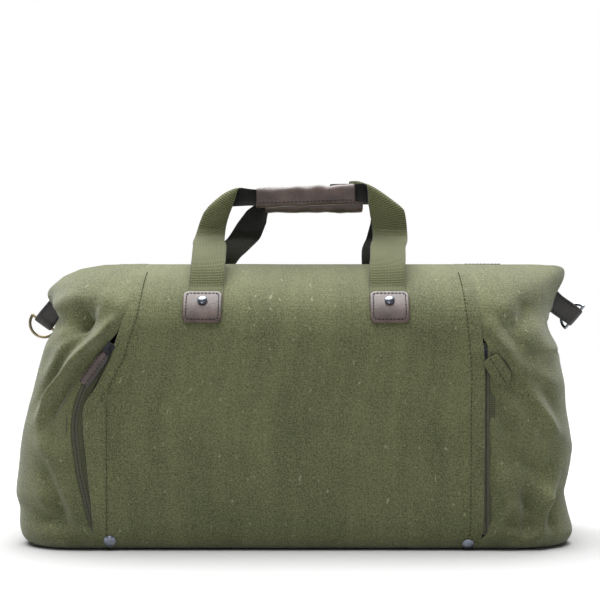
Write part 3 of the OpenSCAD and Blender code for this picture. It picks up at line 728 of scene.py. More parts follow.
def front_panel():
    """The broad front panel from under the bag to the ridge, hemmed along both sides."""
    rows = []
    for level in LEVELS:
        line = front_row(level)
        z = line[len(line) // 2, 2]
        rows.append(row_between(line, -np.interp(z, *LEFT_EDGE), np.interp(z, *RIGHT_EDGE), FRONT_ACROSS))
    points = np.array(rows)
    x, z = points[..., 0], points[..., 2]
    from_left = np.cumsum(np.linalg.norm(np.diff(points, axis=1, prepend=points[:, :1]), axis=2), 1)
    from_right = from_left[:, -1:] - from_left
    sewn_left = np.full(len(x), SEAM_IN)
    for i in range(len(x)):
        if z[i].mean() < STRAIGHT_TOP:
            sewn_left[i] = np.interp(STRAIGHT_X, x[i], from_left[i])
    near = np.minimum(from_left - sewn_left[:, None] + SEAM_IN, from_right)
    hem = panel_hem(2.5, 1.6, 0.6, 1.2, near)
    hem = hem + 4.6 * hump(z, 199, 12) * smooth(22, 2, from_right)
    pucker = 0.35 * np.sin(z * 0.55 + np.sin(z * 0.21) * 2) * hump(near, 12, 8)
    across = np.cos(np.clip((x + 8) / 400, -0.5, 0.5) * math.pi)
    bow = 3.2 * across * np.sin(np.clip(z / BOW_TOP, 0, 1) * math.pi) ** 0.8
    soft = ruffle(points, 0.75, 21, 0.03) + ruffle(points, 0.4, 22, 0.07)
    sag = -2.0 * hump(z, 205, 26) * smooth(40, 110, np.abs(x)) * 0.6
    low, top = smooth(4, 30, z), smooth(236, 214, z)
    keep_top = np.where(z > ROOF_START, 0.25 + 0.75 * top, 1.0)
    crest = smooth(289, 276, z)
    hem = hem * (0.15 + 0.85 * low) * np.where(z > ROOF_START, 0.5 + 0.5 * top, 1) * crest
    height = hem + pucker * low * crest + (bow + sag) * low * top + soft * low * keep_top
    points, out = raised(points, height, -1)
    stitch_lines = []
    for measure, sewn in ((from_left, sewn_left), (from_right, np.full(len(points), SEAM_IN))):
        line = []
        for i in range(len(points)):
            order = np.argsort(measure[i])
            surface = (points[i] + out[i] * 0.5)[order]
            line.append([np.interp(sewn[i], measure[i][order], surface[:, k]) for k in range(3)])
        line = np.array(line[4:])
        stitch_lines.append(line[line[:, 2] < SEAM_TOP])
    return points, stitch_lines


def back_panel():
    """The back panel, hemmed along both sides like the front one."""
    rows = [row_between(front_row(level), BACK_LEFT, BACK_RIGHT, BACK_ACROSS) for level in LEVELS]
    points = np.array(rows) * [1, -1, 1]
    x, z = points[..., 0], points[..., 2]
    low, top = smooth(4, 30, z), smooth(236, 214, z)
    near = np.minimum(x - BACK_LEFT, BACK_RIGHT - x)
    hem = panel_hem(1.9, 1.1, 0.55, 1.3, near)
    across = np.cos(np.clip(x / 400, -0.5, 0.5) * math.pi)
    bow = 3.0 * across * np.sin(np.clip(z / BOW_TOP, 0, 1) * math.pi) ** 0.8
    hem = hem * (0.15 + 0.85 * low) * np.where(z > ROOF_START, 0.5 + 0.5 * top, 1)
    height = hem + bow * low * top + ruffle(points, 1.1, 41, 0.03) * low * (0.3 + 0.7 * top)
    points, out = raised(points, height, 1)
    lines = [(points[4:, k] + out[4:, k] * 0.5)[points[4:, k, 2] < SEAM_TOP] for k in (3, 86)]
    return points, lines


def bend_with(obj, side):
    """Applies the piece's modifiers and bakes its place into its mesh; both sides are treated alike."""
    settle(obj)
    if side < 0:
        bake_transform(obj)
    else:
        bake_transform(obj)
    return obj


front_points, front_lines = front_panel()
front = sheet("front_panel_canvas", front_points, CANVAS, 1.3, lining=LINING)
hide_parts("front_panel", "front_mouth_panel")
bend_with(front, -1)
front_stitches = row("front_hem_stitches", front_lines, STITCHES, OLIVE_THREAD, Pitch=HEM_PITCH)
bend_with(front_stitches, -1)

back_points, back_lines = back_panel()
back = sheet("back_panel_canvas", back_points, CANVAS, 1.3, flip=True, lining=LINING)
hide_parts("back_panel", "back_mouth_panel")
bend_with(back, 1)
back_thread = dict(Pitch=HEM_PITCH, Facing=(0, 1, 0))
back_stitches = row("back_hem_stitches", back_lines, STITCHES, OLIVE_THREAD, **back_thread)
bend_with(back_stitches, 1)

# The front half of an end runs one column under the back half, this far inside it.
TUCK = 1.7
for side, word in ((-1, "left"), (1, "right")):
    points, middle = end_canvas(side)
    tucked = points[:, middle + 1:middle + 2] - [side * TUCK, 0, 0]
    halves = {"front": np.concatenate([points[:, :middle + 1], tucked], 1), "back": points[:, middle:]}
    for part, facing in (("front", -1), ("back", 1)):
        end = sheet(f"{word}_end_{part}_canvas", halves[part], CANVAS, CLOTH, flip=side < 0, lining=LINING)
        if part == "front":
            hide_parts(f"{word}_gusset")
        bend_with(end, facing)


# ---------------------------------------------------------------- underside, lining and folded ends

def plate(name, inset, z, material, thickness):
    """A flat cloth plate with the outline of the bag's bottom."""
    level = ("wall", EDGE)
    ring = np.vstack([front_row(level, inset), (front_row(level, inset) * [1, -1, 1])[::-1][1:-1]])
    ring[:, 2] = z
    rings = np.array([ring * [k, k, 1] for k in np.linspace(1, 0.04, 16)])
    count = len(ring)
    faces = grid_faces(len(rings), count, closed=True)
    faces.append([(len(rings) - 1) * count + j for j in range(count)][::-1])
    flat = rings.reshape(-1, 3)
    obj = piece(name, flat, [f[::-1] for f in faces], material, flat[:, :2])
    thicken(obj, thickness, inward=False)
    settle(obj)
    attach(obj, "shell")
    return obj


bottom = plate("bottom_canvas", 26, 0.3, CANVAS, 1.4)
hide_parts("bottom_panel")


# How far the lining hangs inside the skin, how far its bottom is lifted, and its least height.
LINING_INSET, LINING_LIFT, LINING_FLOOR = 7.5, 6, 7.0


def lining_bag():
    """The slack inner bag, open at the shoulder, drawn in at both ends so that the folds clear it."""
    under = [("under", inset) for inset in (60, 30)]
    rounding = [("round", q) for q in (0, 30, 60, 90)]
    wall = [("wall", z) for z in np.arange(24, 212, 9)]
    rows = []
    for level in under + rounding + wall:
        line = front_row(level, LINING_INSET)
        line[:, 2] += 0 if level[0] == "wall" else LINING_LIFT
        rows.append(np.vstack([line, (line * [1, -1, 1])[::-1][1:-1]]))
    points = np.array(rows)
    points[..., 2] = np.maximum(points[..., 2], LINING_FLOOR)
    wave = ruffle(points, 1.2, 77, 0.06) * smooth(20, 60, points[..., 2])
    centre = points.mean(axis=1, keepdims=True) * [1, 1, 0] + points * [0, 0, 1]
    points = points + unit(centre - points, 1) * np.abs(wave)[..., None]
    at_ends = smooth(190, 228, np.abs(points[..., 0]))
    points[..., 0] -= np.sign(points[..., 0]) * 9 * at_ends
    points[..., 1] *= 1 - 0.08 * at_ends
    count, columns = points.shape[:2]
    faces = grid_faces(count, columns, closed=True)
    faces.append(list(range(columns))[::-1])
    obj = piece("lining_cloth", points.reshape(-1, 3), faces, LINING, cloth_lengths(points).reshape(-1, 2))
    thicken(obj, LINING_CLOTH)
    settle(obj)
    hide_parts("lining")
    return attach(obj, "shell")


lining_bag()


def pouch(word, x0, x1):
    """A pocket's inner pouch, a slack double layer behind the front panel."""
    low, high, behind = 27, 199, -113.2
    x, z = np.meshgrid(np.linspace(x0, x1, 40), np.linspace(low, high, 40))
    slack = np.sin(np.pi * (x - x0) / (x1 - x0)) * np.sin(np.pi * (z - low) / (high - low))
    points = np.stack([x, behind + 0.7 * slack * np.sin(x * 0.09 + z * 0.05), z], -1)
    obj = sheet(f"{word}_pocket_pouch", points, LINING, 0.9, levels=0)
    settle(obj)
    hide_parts(f"{word}_pocket_bag")
    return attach(obj, "shell")


pouch("left", -196, -8)
pouch("right", 8, 179)


# How far the tucked ends rise above the shoulder.
FOLD_RISE = 69.5


def folded_end(side, word):
    """The end's canvas tucked in under the ear: up from the shoulder shelf to the ridge, with soft pleats."""
    rows = []
    for v in np.linspace(0, 1, 34):
        out = 1 - smooth(0.0, 0.35, v)
        z = 213.5 + (54 if side < 0 else 64) * smooth(0.12, 1.0, v)
        s = math.asin(min(1, max(0, (z - SHOULDER) / FOLD_RISE)))
        half = 66 * math.cos(s) + 1
        reach = 12 if side < 0 else 24
        y = np.linspace(-half, half, 60)
        depth = side * (235 + reach * out * (1 - 0.75 * (np.abs(y) / 68) ** 2.5))
        wave = np.sin(y * 0.16 + 1.3 * math.sin(v * 3)) * smooth(0.1, 0.5, v)
        pleat = side * 2.2 * wave * np.cos(y / half * math.pi / 2) ** 0.5
        rows.append(np.stack([depth + pleat, y, np.full_like(y, z)], -1))
    obj = sheet(f"{word}_tucked_end", np.array(rows), CANVAS, CLOTH, flip=side < 0, levels=0)
    settle(obj)
    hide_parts(f"{word}_gusset_fold")
    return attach(obj, "shell")


folded_end(-1, "left")
folded_end(1, "right")


# ---------------------------------------------------------------- closed bodies: straps, leather and metal

def loft(name, rings, material, levels=0, other=None, other_from=None):
    """A closed body through rings of points, in millimetres, with its cloth map round and along it."""
    rings = np.asarray(rings, float)
    rows, count = rings.shape[:2]
    faces = grid_faces(rows, count, closed=True)
    faces += [tuple(range(count))[::-1], tuple((rows - 1) * count + j for j in range(count))]
    flat = rings.reshape(-1, 3)
    a, b, c = (flat[[f[k] for f in faces]] for k in (0, 1, 2))
    d = flat[[f[3 % len(f)] for f in faces]]
    volume = np.einsum("ij,ij->i", a, np.cross(b, c)).sum() + np.einsum("ij,ij->i", a, np.cross(c, d)).sum()
    turned = volume < 0
    around = run_along(np.vstack([rings[rows // 2], rings[rows // 2][:1]]))
    along = run_along(rings.mean(1))
    uv = []
    for index, face in enumerate(faces):
        if len(face) == 4 and index < (rows - 1) * count:
            i, j = divmod(index, count)
            corners = [(around[j + p], along[i + q]) for p, q in ((0, 0), (1, 0), (1, 1), (0, 1))]
        else:
            corners = [(p[0], p[2]) for p in flat[list(face)]]
        uv += corners[::-1] if turned else corners
    faces = [face[::-1] for face in faces] if turned else faces
    obj = piece(name, flat, faces, material)
    layer = obj.data.uv_layers.new(name="cloth")
    layer.data.foreach_set("uv", (np.array(uv) * MM).ravel())
    if other:
        obj.data.materials.append(other)
        for index in range((rows - 1) * count):
            if index % count >= other_from:
                obj.data.polygons[index].material_index = 1
    if levels:
        fine = obj.modifiers.new("fine", "SUBSURF")
        fine.levels = fine.render_levels = levels
        settle(obj)
    return obj


def join(name, *parts):
    """Several finished meshes as one piece."""
    for part in parts:
        part.select_set(True)
    bpy.context.view_layer.objects.active = parts[0]
    with bpy.context.temp_override(active_object=parts[0], selected_editable_objects=list(parts)):
        bpy.ops.object.join()
    parts[0].name = parts[0].data.name = name
    return parts[0]


def flat_strap(edges_a, edges_b, out, thickness, bulge=0.0, across=9):
    """Rings of a strap between its two edges. Its middle stands out by the bulge."""
    a, b, out = (np.asarray(v, float) for v in (edges_a, edges_b, out))
    bulge = np.broadcast_to(np.asarray(bulge, float), (len(a),))
    u = np.linspace(0, 1, across)
    crown = 1 - (2 * u - 1) ** 2
    rings = []
    for i in range(len(a)):
        n = out[i] / np.linalg.norm(out[i])
        middle = a[i] + (b[i] - a[i]) * u[:, None] + n * (crown * bulge[i])[:, None]
        width = np.linalg.norm(b[i] - a[i])
        side = (b[i] - a[i]) / width
        slope = np.gradient(crown * bulge[i], u) / width
        normal = unit(n - side * slope[:, None])
        half = thickness / 2 * np.where((u == 0) | (u == 1), 0.62, 1.0)[:, None]
        rings.append(np.vstack([middle + normal * half, (middle - normal * half)[::-1]]))
    return np.array(rings)


def roof_point(z, out=0.0):
    """A point of the front roof in y and z at a height, moved outwards."""
    s = math.asin(min(1.0, max(0.0, (z - SHOULDER) / (RIDGE - SHOULDER))))
    n = np.array([-math.cos(s) / DEPTH, math.sin(s) / (RIDGE - SHOULDER)])
    n /= np.linalg.norm(n)
    return np.array([-DEPTH * math.cos(s), z]) + n * out


# ---------------------------------------------------------------- handles

# Where a leg has come upright in y and z, how high it has reached its own depth, and half its thickness.
STAND_Y, STAND_Z, DEPTH_Z = -14, 325, 350
WEBBING_HALF = 1.15


def leg_profile(bottom=231.0):
    """The side line of a handle's leg in y and z: sewn down, then lying over the roof, then standing up."""
    low = [roof_point(z, 1.35) for z in (bottom, 240, 250, 257)]
    lie = [(-91.5, 263.5), (-86.5, 272), (-79.5, 282), (-69, 291.5), (-55, 300), (-40, 307)]
    stand = [(-27, 312.5), (-18.5, 317.5), (STAND_Y, STAND_Z)]
    return route([*low, *lie, *stand], 120)


def leg(name, line, chords, bulges, fold, depth, mirror):
    """One leg of a handle, drawn flat along its line, then laid over the roof and creased."""
    profile = leg_profile()
    run = run_along(profile)
    height = STAND_Z - (run[-1] - run)
    path = route(line, 150)
    tangent = unit(np.gradient(path, axis=0))
    across = np.stack([tangent[:, 1], -tangent[:, 0]], 1)
    half = np.interp(path[:, 1], *chords) / 2
    u = np.linspace(-1, 1, 13)
    flat = path[:, None, :] + across[:, None, :] * (half[:, None] * u)[..., None]
    bulge = np.interp(path[:, 1], *bulges)[:, None] * (1 - u**2)
    x, h = flat[..., 0], flat[..., 1]
    lying = h < STAND_Z
    standing = STAND_Y + (depth - STAND_Y) * smooth(STAND_Z, DEPTH_Z, h)
    y = np.where(lying, np.interp(h, height, profile[:, 0]), standing)
    z = np.where(lying, np.interp(h, height, profile[:, 1]), h)
    points = np.stack([x, y, z], -1)
    if fold:
        (fx, fz), slope, r = fold
        crease = np.array([math.cos(slope), math.sin(slope)])
        n = np.array([-math.sin(slope), math.cos(slope)])
        n = n if n[1] > 0 else -n
        from_fold = flat - [fx, fz]
        d, a = from_fold @ n, from_fold @ crease
        turning = d < math.pi * r
        over = np.where(d > 0, np.where(turning, r * np.sin(d / r), -(d - math.pi * r)), d)
        back = np.where(d > 0, np.where(turning, r * (1 - np.cos(d / r)), 2 * r), 0)
        points[..., 0] = fx + a * crease[0] + over * n[0]
        points[..., 1] = np.where(lying, y, y + back)
        points[..., 2] = np.where(lying, z, fz + a * crease[1] + over * n[1])
    normal = normals(points)
    facing = normal[70, 6, 1]
    normal *= -np.sign(facing) if facing else 1
    points = points + normal * bulge[..., None]
    edge = np.where(np.abs(u) > 0.99, 0.55, 1.0)[None, :, None] * WEBBING_HALF
    rings = np.concatenate([points + normal * edge, (points - normal * edge)[:, ::-1]], axis=1)
    if mirror:
        rings[..., 1] *= -1
    # The inner half of each leg's rings gets the near-black painted shade.
    return loft(name, rings, WEBBING, levels=1, other=SHADED_WEBBING_FACE, other_from=13)


# The legs of each handle, left then right: the line in x and z, widths by height, how far the middle bulges
# by height, the crease where it turns to the grip (place, slope, radius) and its depth in y.
LEGS = {
    "front": [
        dict(
            line=[(-91, 190), (-90.5, 240), (-90, 262), (-90.5, 290), (-92, 305), (-90.6, 320),
                  (-87.6, 333), (-83, 345), (-76.5, 359), (-69.0, 379), (-62, 398), (-55, 417)],
            chords=([0, 285, 300, 314, 333, 344, 362, 385, 400], [35.5, 35.5, 34.6, 32, 28, 26, 23, 18, 17]),
            bulges=([290, 315, 335, 362, 390], [0.3, 1.5, 4.0, 4.0, 3.0]),
            fold=((-73.5, 358.0), math.radians(33.5), 2.2), depth=-15.0),
        dict(
            line=[(92, 190), (93, 240), (94.5, 262), (96, 290), (98.5, 305), (99.5, 318),
                  (98.5, 333), (95.5, 347), (89.5, 364), (81, 384), (73, 402), (68, 414)],
            chords=([0, 285, 300, 345, 358, 372, 388], [37, 37, 37.5, 37, 33, 23, 19]),
            bulges=([290, 330, 350, 390], [0.3, 1.0, 2.0, 2.5]),
            fold=((88.0, 361.0), math.radians(180 - 33), 2.4), depth=-15.0),
    ],
    "back": [
        dict(
            line=[(-92, 190), (-92, 240), (-88, 255), (-79, 275), (-70, 290), (-62, 305),
                  (-55, 318), (-48, 331), (-41, 343), (-34, 352), (-26, 356)],
            chords=([0, 270, 300, 325, 340, 348, 356], [36, 36, 33, 30, 25, 17, 13]),
            bulges=([290, 320, 345], [0.5, 2, 5]), fold=None, depth=-12.0),
        dict(
            line=[(92, 190), (92, 240), (91, 262), (90, 285), (91, 300), (93.5, 318),
                  (96, 333), (95, 347), (91, 360), (83, 380), (76, 396)],
            chords=([0, 265, 300, 400], [37, 37, 36, 24]),
            bulges=([290, 330, 350, 390], [0.3, 1.0, 2.0, 2.5]),
            fold=((92.0, 358.5), math.radians(180 - 33), 3.0), depth=-14.0),
    ],
}


def handle(word, mirror):
    """Both legs of one handle, joined as one piece, running from the mouth to the grip."""
    left, right = (leg(name, mirror=mirror, **shape) for name, shape in zip(("left", "right"), LEGS[word]))
    straps = join(f"{word}_handle_straps", left, right)
    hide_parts(f"{word}_handle_webbing", f"{word}_webbing_tails")
    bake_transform(straps)
    return straps


# The middle of both grips in y, front one.
GRIP_Y = -9.5


def grip(word, x0, x1, z0, z1, mirror):
    """The leather wrapped round both straps: a soft flattened tube with an overlapping edge."""
    rings = []
    turns = np.linspace(0, 2 * math.pi, 48, endpoint=False)
    rng = np.random.default_rng(5 if mirror else 4)
    waves = rng.uniform(0, 6.28, (5, 2))
    for s in np.linspace(0, 1, 70):
        x = x0 + (x1 - x0) * s
        z = z0 + (z1 - z0) * s
        pinch = 1 - 0.02 * hump(s, 0.36, 0.02) - 0.04 * hump(s, 0.72, 0.03)
        mouth = 1 - 0.10 * (1 - smooth(0, 0.015, min(s, 1 - s)))
        ring = []
        for t in turns:
            c, q = math.cos(t), math.sin(t)
            wide = 6.6 * abs(c) ** 0.75 * (1 if c > 0 else -1)
            tall = 10.6 * abs(q) ** 0.9 * (1 if q > 0 else -1)
            lap = 0.9 * smooth(3.45, 3.52, t) * smooth(5.2, 4.0, t)
            crease = 0.0
            for k, (along, around) in enumerate(waves):
                crease += math.sin(x * (0.12 + 0.05 * k) + along + 3 * math.cos(t + around))
            grow = (1 + (0.35 * crease / 2 + lap) / 9) * pinch * mouth
            ring.append((x, GRIP_Y + wide * grow, z + tall * grow))
        rings.append(ring)
    rings = np.array(rings)
    if mirror:
        rings[..., 1] *= -1
    obj = loft(f"{word}_grip_leather", rings, LEATHER, levels=1)
    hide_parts(f"{word}_grip_wrap")
    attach(obj, f"{word}_handle")
    sign = -1 if mirror else 1
    seam = rings[3:-3, 28] + [0, -0.55 * sign, -0.3]
    thread = row(f"{word}_grip_stitches", [seam], STITCHES, BLACK_THREAD, Pitch=0.0042, Facing=(0, -sign, 0))
    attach(thread, f"{word}_handle")
    return obj


def rounded(w, h, r, count=8):
    """Points of a rounded rectangle, counter-clockwise, with sides w and h."""
    points = []
    for quarter, (sx, sy) in enumerate(((1, 1), (-1, 1), (-1, -1), (1, -1))):
        for k in range(count + 1):
            a = math.radians(90 * quarter + 90 * k / count)
            points.append((sx * (w / 2 - r) + r * math.cos(a), sy * (h / 2 - r) + r * math.sin(a)))
    return np.array(points)


# The patches' middle height, width, height, and how much smaller their seam is. Layers: scale, distance out.
PATCH_Z = 243
PATCH_W, PATCH_H, PATCH_SEAM = 39.5, 36.5, 7
PATCH_LAYERS = ((1.0, 0.6), (1.0, 2.4), (0.985, 3.3), (0.95, 3.75), (0.86, 3.7),
                (0.82, 3.55), (0.77, 3.75), (0.6, 3.85), (0.35, 3.9), (0.1, 3.9))


def on_roof(points, out, mirror):
    """Puts flat points (x, distance up the roof from the patches' middle) on the roof at a distance out."""
    heights = np.linspace(222, 270, 60)
    path = np.array([roof_point(z, 0) for z in heights])
    run = run_along(path)
    run -= np.interp(PATCH_Z, heights, run)
    z = np.interp(points[:, 1], run, heights)
    yz = np.array([roof_point(zz, oo) for zz, oo in zip(z, np.broadcast_to(out, z.shape))])
    laid = np.stack([points[:, 0], yz[:, 0], yz[:, 1]], 1)
    return laid * [1, -1, 1] if mirror else laid


def fine_outline(points, step=2.5):
    """A closed line with more points along its straight sides."""
    closed, fine = np.vstack([points, points[:1]]), []
    for a, b in zip(closed[:-1], closed[1:]):
        count = max(1, math.ceil(np.linalg.norm(b - a) / step))
        fine += [a + (b - a) * k / count for k in range(count)]
    return np.array(fine)


def patch(word, side, x, mirror):
    """A rounded leather patch over the end of one leg, with a pressed border and a square of stitches."""
    edge = fine_outline(rounded(PATCH_W, PATCH_H, 5.5, 5))
    rings = []
    for k, out in PATCH_LAYERS:
        inset = (1 - k) * 19
        scaled = edge * [(PATCH_W / 2 - inset) / (PATCH_W / 2), (PATCH_H / 2 - inset) / (PATCH_H / 2)]
        rings.append(on_roof(scaled + [x, 0], out, mirror))
    obj = loft(f"{word}_{side}_patch_leather", np.array(rings), LEATHER, levels=1)
    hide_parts(f"{word}_{side}_patch")
    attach(obj, f"{word}_mouth")
    ring = fine_outline(rounded(PATCH_W - PATCH_SEAM, PATCH_H - PATCH_SEAM, 3.5, 6))
    seam = on_roof(np.vstack([ring, ring[:1]]) + [x, 0], 3.9, mirror)
    facing = (0, 0.85 if mirror else -0.85, 0.5)
    thread = row(f"{word}_{side}_patch_stitches", [seam], STITCHES, BLACK_THREAD, Pitch=0.0037, Facing=facing)
    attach(thread, f"{word}_mouth")


for word, mirror in (("front", False), ("back", True)):
    handle(word, mirror)
    patch(word, "left", -94.0, mirror)
    patch(word, "right", 94.0, mirror)
grip("front", -43.0, 63.0, 359.0, 363.0, False)
grip("back", -34.0, 72.0, 355.0, 355.0, True)


# ---------------------------------------------------------------- zips

def in_front(line):
    """A line in x and z put on the front plane of the pocket zips."""
    return np.stack([line[:, 0], np.full(len(line), ZIP_Y), line[:, 1]], 1)


def right_zip(out):
    """The right pocket's straight zip line in x and z, moved to the right by a distance."""
    return np.stack([np.full(60, RIGHT_ZIP_X + out), np.linspace(ZIP_LOW, ZIP_TOP, 60)], 1)


def pocket_tape(name, zip_line):
    """Both halves of a pocket zip's tape, each from beside its teeth to its outer edge."""
    halves = []
    for k, (inner, outer) in enumerate(((-9.0, -1.6), (1.6, 9.0))):
        a, b = in_front(zip_line(inner)), in_front(zip_line(outer))
        rings = flat_strap(a, b, np.broadcast_to((0, -1, 0), a.shape), 0.8, 0.0, 5)
        halves.append(loft(f"tape{k}", rings, TAPE))
    return join(name, *halves)


left_tape = pocket_tape("left_zip_woven_tape", curved_zip)
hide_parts("left_zip_tape")
left_rows = [in_front(curved_zip(-1.5)), in_front(curved_zip(1.5, 142.5, 206.3))]
left_teeth = row("left_zip_tooth_rows", left_rows, TOOTH_ROW, TEETH, Pitch=TOOTH_PITCH, Facing=(0, -1, 0))
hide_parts("left_zip_teeth")

right_tape = pocket_tape("right_zip_woven_tape", right_zip)
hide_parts("right_zip_tape")
right_rows = []
for out, shift in ((-1.5, 0), (1.5, 1.0)):
    right_rows.append([(RIGHT_ZIP_X + out, ZIP_Y, z + shift) for z in (ZIP_LOW, ZIP_TOP)])
right_teeth = row("right_zip_tooth_rows", right_rows, TOOTH_ROW, TEETH, Pitch=TOOTH_PITCH)
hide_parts("right_zip_teeth")
for kind, objects in (("zip_tape", (left_tape, right_tape)), ("zip_teeth", (left_teeth, right_teeth))):
    for obj in objects:
        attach(obj, "shell")

# The main zip's tape across: out from the teeth and back underneath, in y and z.
MAIN_TAPE = ((1.7, 281.6), (6.5, 281.9), (9.5, 283.4), (15, 283.9),
             (15, 283.1), (9.5, 282.6), (6.5, 281.1), (1.7, 280.8))
along = np.linspace(-MAIN_ZIP_HALF, MAIN_ZIP_HALF, 80)
for word, s in (("front", -1), ("back", 1)):
    wave = 0.25 * np.sin(along * 0.11 + s)
    rings = np.stack([np.stack([along, np.full(80, s * y), z + wave], 1) for y, z in MAIN_TAPE], 1)
    obj = loft(f"{word}_main_zip_tape", rings, TAPE)
    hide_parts(f"{word}_zip_tape")
    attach(obj, f"{word}_mouth")
    start = -MAIN_ZIP_HALF + (s > 0)
    tooth_line = [(start, s * 1.5, MAIN_ZIP_Z), (MAIN_ZIP_HALF, s * 1.5, MAIN_ZIP_Z)]
    teeth = row(f"{word}_main_tooth_row", [tooth_line], TOOTH_ROW, TEETH, Pitch=TOOTH_PITCH, Facing=(0, 0, 1))
    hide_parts(f"{word}_zip_teeth")
    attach(teeth, f"{word}_mouth")

# The zip's leather ends: how far out they lie, and the heights of the ridge under each one.
ZIP_END_X = 241.5
for word, side, under in (("left", -1, [276, 267]), ("right", 1, [279, 279])):
    edge = rounded(19, 12, 2)
    rings = []
    for k, z in ((1, 0), (1, 1.4), (0.94, 1.8), (0.5, 1.9), (0.1, 1.9)):
        ring = np.column_stack([edge * k + [side * ZIP_END_X, 0], np.full(len(edge), float(z))])
        ring[:, 2] += np.interp(side * ring[:, 0], [230, 252], under)
        rings.append(ring)
    obj = loft(f"{word}_zip_end_leather", rings, LEATHER)
    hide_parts(f"{word}_zip_end")
    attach(obj, "shell")


# ---------------------------------------------------------------- pullers

def placed(points, origin, turn, face):
    """A zip's own points, x along it and z out of it, put in place on the front or on the top of the bag."""
    p = np.asarray(points, float)
    c, s = math.cos(math.radians(turn)), math.sin(math.radians(turn))
    x, y = p[..., 0] * c - p[..., 1] * s, p[..., 0] * s + p[..., 1] * c
    if face == "front":
        return np.stack([origin[0] + x, origin[1] - p[..., 2], origin[2] + y], -1)
    return np.stack([origin[0] + x, origin[1] + y, origin[2] + p[..., 2]], -1)


def leather_puller(name, origin, turn, face, node, body):
    """A strip of leather folded over the link, its two layers sewn and slightly open along one side."""
    stations = np.linspace(0, 1, 26)
    parts = []
    at, taper, curl = 5.6 + 38 * stations, 0.72 + 0.28 * smooth(0, 0.2, stations), np.sin(stations * 3)
    # The upper layer is the puller's brown face; the lower one is near-black, painted shade for the shadowed
    # underside of the fold.
    layers = ((5.2, -5.2, 3.9, 0.5, LEATHER), (3.0, -2.4, 6.2, -0.15, DARK_LEATHER_AND_SHADE))
    for k, (lift, inner, outer, open_edge, leather) in enumerate(layers):
        a = np.stack([at, inner * taper, lift + open_edge * curl], 1)
        b = np.stack([at, outer * taper, lift - 0.4 * curl], 1)
        rings = flat_strap(a, b, np.broadcast_to((0, 0, 1), a.shape), 1.7, 0.5, 9)
        parts.append(loft(f"layer{k}", placed(rings, origin, turn, face), leather, levels=1))
    obj = join(name, *parts)
    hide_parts(node)
    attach(obj, body)
    seams = [np.stack([7 + 35 * stations, np.full(26, y), np.full(26, 6.55)], 1) for y in (-3.4, 2.2)]
    lines = [placed(seam, origin, turn, face) for seam in seams]
    facing = (0, -1, 0) if face == "front" else (0, 0, 1)
    thread = row(name + "_stitches", lines, STITCHES, BLACK_THREAD, Pitch=PULLER_PITCH, Facing=facing)
    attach(thread, body)


# Where the sliders rest: the left one by its angle on the arc; the turns point each puller along its zip.
LEFT_TURN = 144.1
left_turn = math.radians(LEFT_TURN)
LEFT_SLIDER = (ARC_X + ARC_R * math.cos(left_turn), ZIP_Y, ARC_Z + ARC_R * math.sin(left_turn))
leather_puller("left_leather_puller", LEFT_SLIDER, LEFT_TURN + 90, "front", "left_pull_strap", "left_pull")
leather_puller("main_leather_puller", (224.0, 0.0, MAIN_ZIP_Z), 180.0, "top", "main_pull_strap", "main_pull")
RIGHT_SLIDER, RIGHT_TURN = (RIGHT_ZIP_X, ZIP_Y, 198.0), -57.0

tab_x = np.array([5.5, 9, 14, 20, 26, 31, 33, 35, 37, 38.6])
tab_low = np.array([-8.6, -9.4, -9.7, -9.7, -9.6, -9.4, -7.4, -5.2, -2.8, -1.1])
tab_high = np.array([8.2, 9.0, 9.2, 9.2, 9.2, 9.0, 7.9, 5.4, 2.6, 0.6])
tab_lift = 4.3 + 0.4 * np.sin(tab_x * 0.12)
tab_edges = [np.stack([tab_x, tab_y, tab_lift], 1) for tab_y in (tab_low, tab_high)]
tab_rings = flat_strap(*tab_edges, np.broadcast_to((0, 0, 1), (len(tab_x), 3)), 2.2, 0.2, 13)
tab_rings = placed(tab_rings, RIGHT_SLIDER, RIGHT_TURN, "front")
canvas_tab = loft("right_canvas_puller", tab_rings, CANVAS, levels=1)
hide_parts("right_pull_tab")
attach(canvas_tab, "right_pull")
tab_line = placed([(8, -0.6, 6.0), (20, -0.6, 6.1), (34, -0.6, 5.7)], RIGHT_SLIDER, RIGHT_TURN, "front")
tab_stitches = row("right_puller_stitches", [tab_line], STITCHES, BLACK_THREAD, Pitch=PULLER_PITCH)
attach(tab_stitches, "right_pull")


# ---------------------------------------------------------------- strap loops

def ring_loop(side, word):
    """Doubled dark leather that holds the D-ring: out of the folded end, then drooping."""
    droop, bend = (40, 269) if side > 0 else (54, 248)
    down = np.array([math.cos(math.radians(droop)), -math.sin(math.radians(droop))])
    tip = np.array([bend, 256]) + 38 * down
    out_of_end = [(237, 256), (bend - 8, 256.5), (bend, 255.0)]
    line = route([*out_of_end, np.array([bend, 254]) + 12 * down, tip - 6 * down, tip + 3.4 * down], 44)
    d = unit(np.gradient(line, axis=0))
    n = np.stack([-d[:, 1], d[:, 0]], 1)
    rings = []
    for i, s in enumerate(np.linspace(0, 1, 44)):
        half = 10.8 - 0.6 * smooth(0.85, 1, s)
        thick = 2.1 + 1.5 * smooth(0.8, 0.93, s) - 2.4 * smooth(0.97, 1.0, s)
        section = rounded(2 * half, 2 * thick, min(thick * 0.85, 1.3), 3)
        at = line[i] + n[i] * section[:, :1]
        rings.append(np.stack([side * at[:, 0], section[:, 1], at[:, 1]], 1))
    obj = loft(f"{word}_ring_leather", np.array(rings), DARK_LEATHER_AND_SHADE, levels=1)
    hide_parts(f"{word}_ring_loop")
    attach(obj, "shell")
    lines = []
    for y in (-2.5, 2.5):
        for offset in (-8.2, 8.2):
            at = line[6:38] + n[6:38] * offset
            lines.append(np.stack([side * at[:, 0], np.full(len(at), y), at[:, 1]], 1))
    thread = row(f"{word}_ring_leather_stitches", lines, STITCHES, BLACK_THREAD, Pitch=0.0038)
    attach(thread, "shell")


ring_loop(-1, "left")
ring_loop(1, "right")


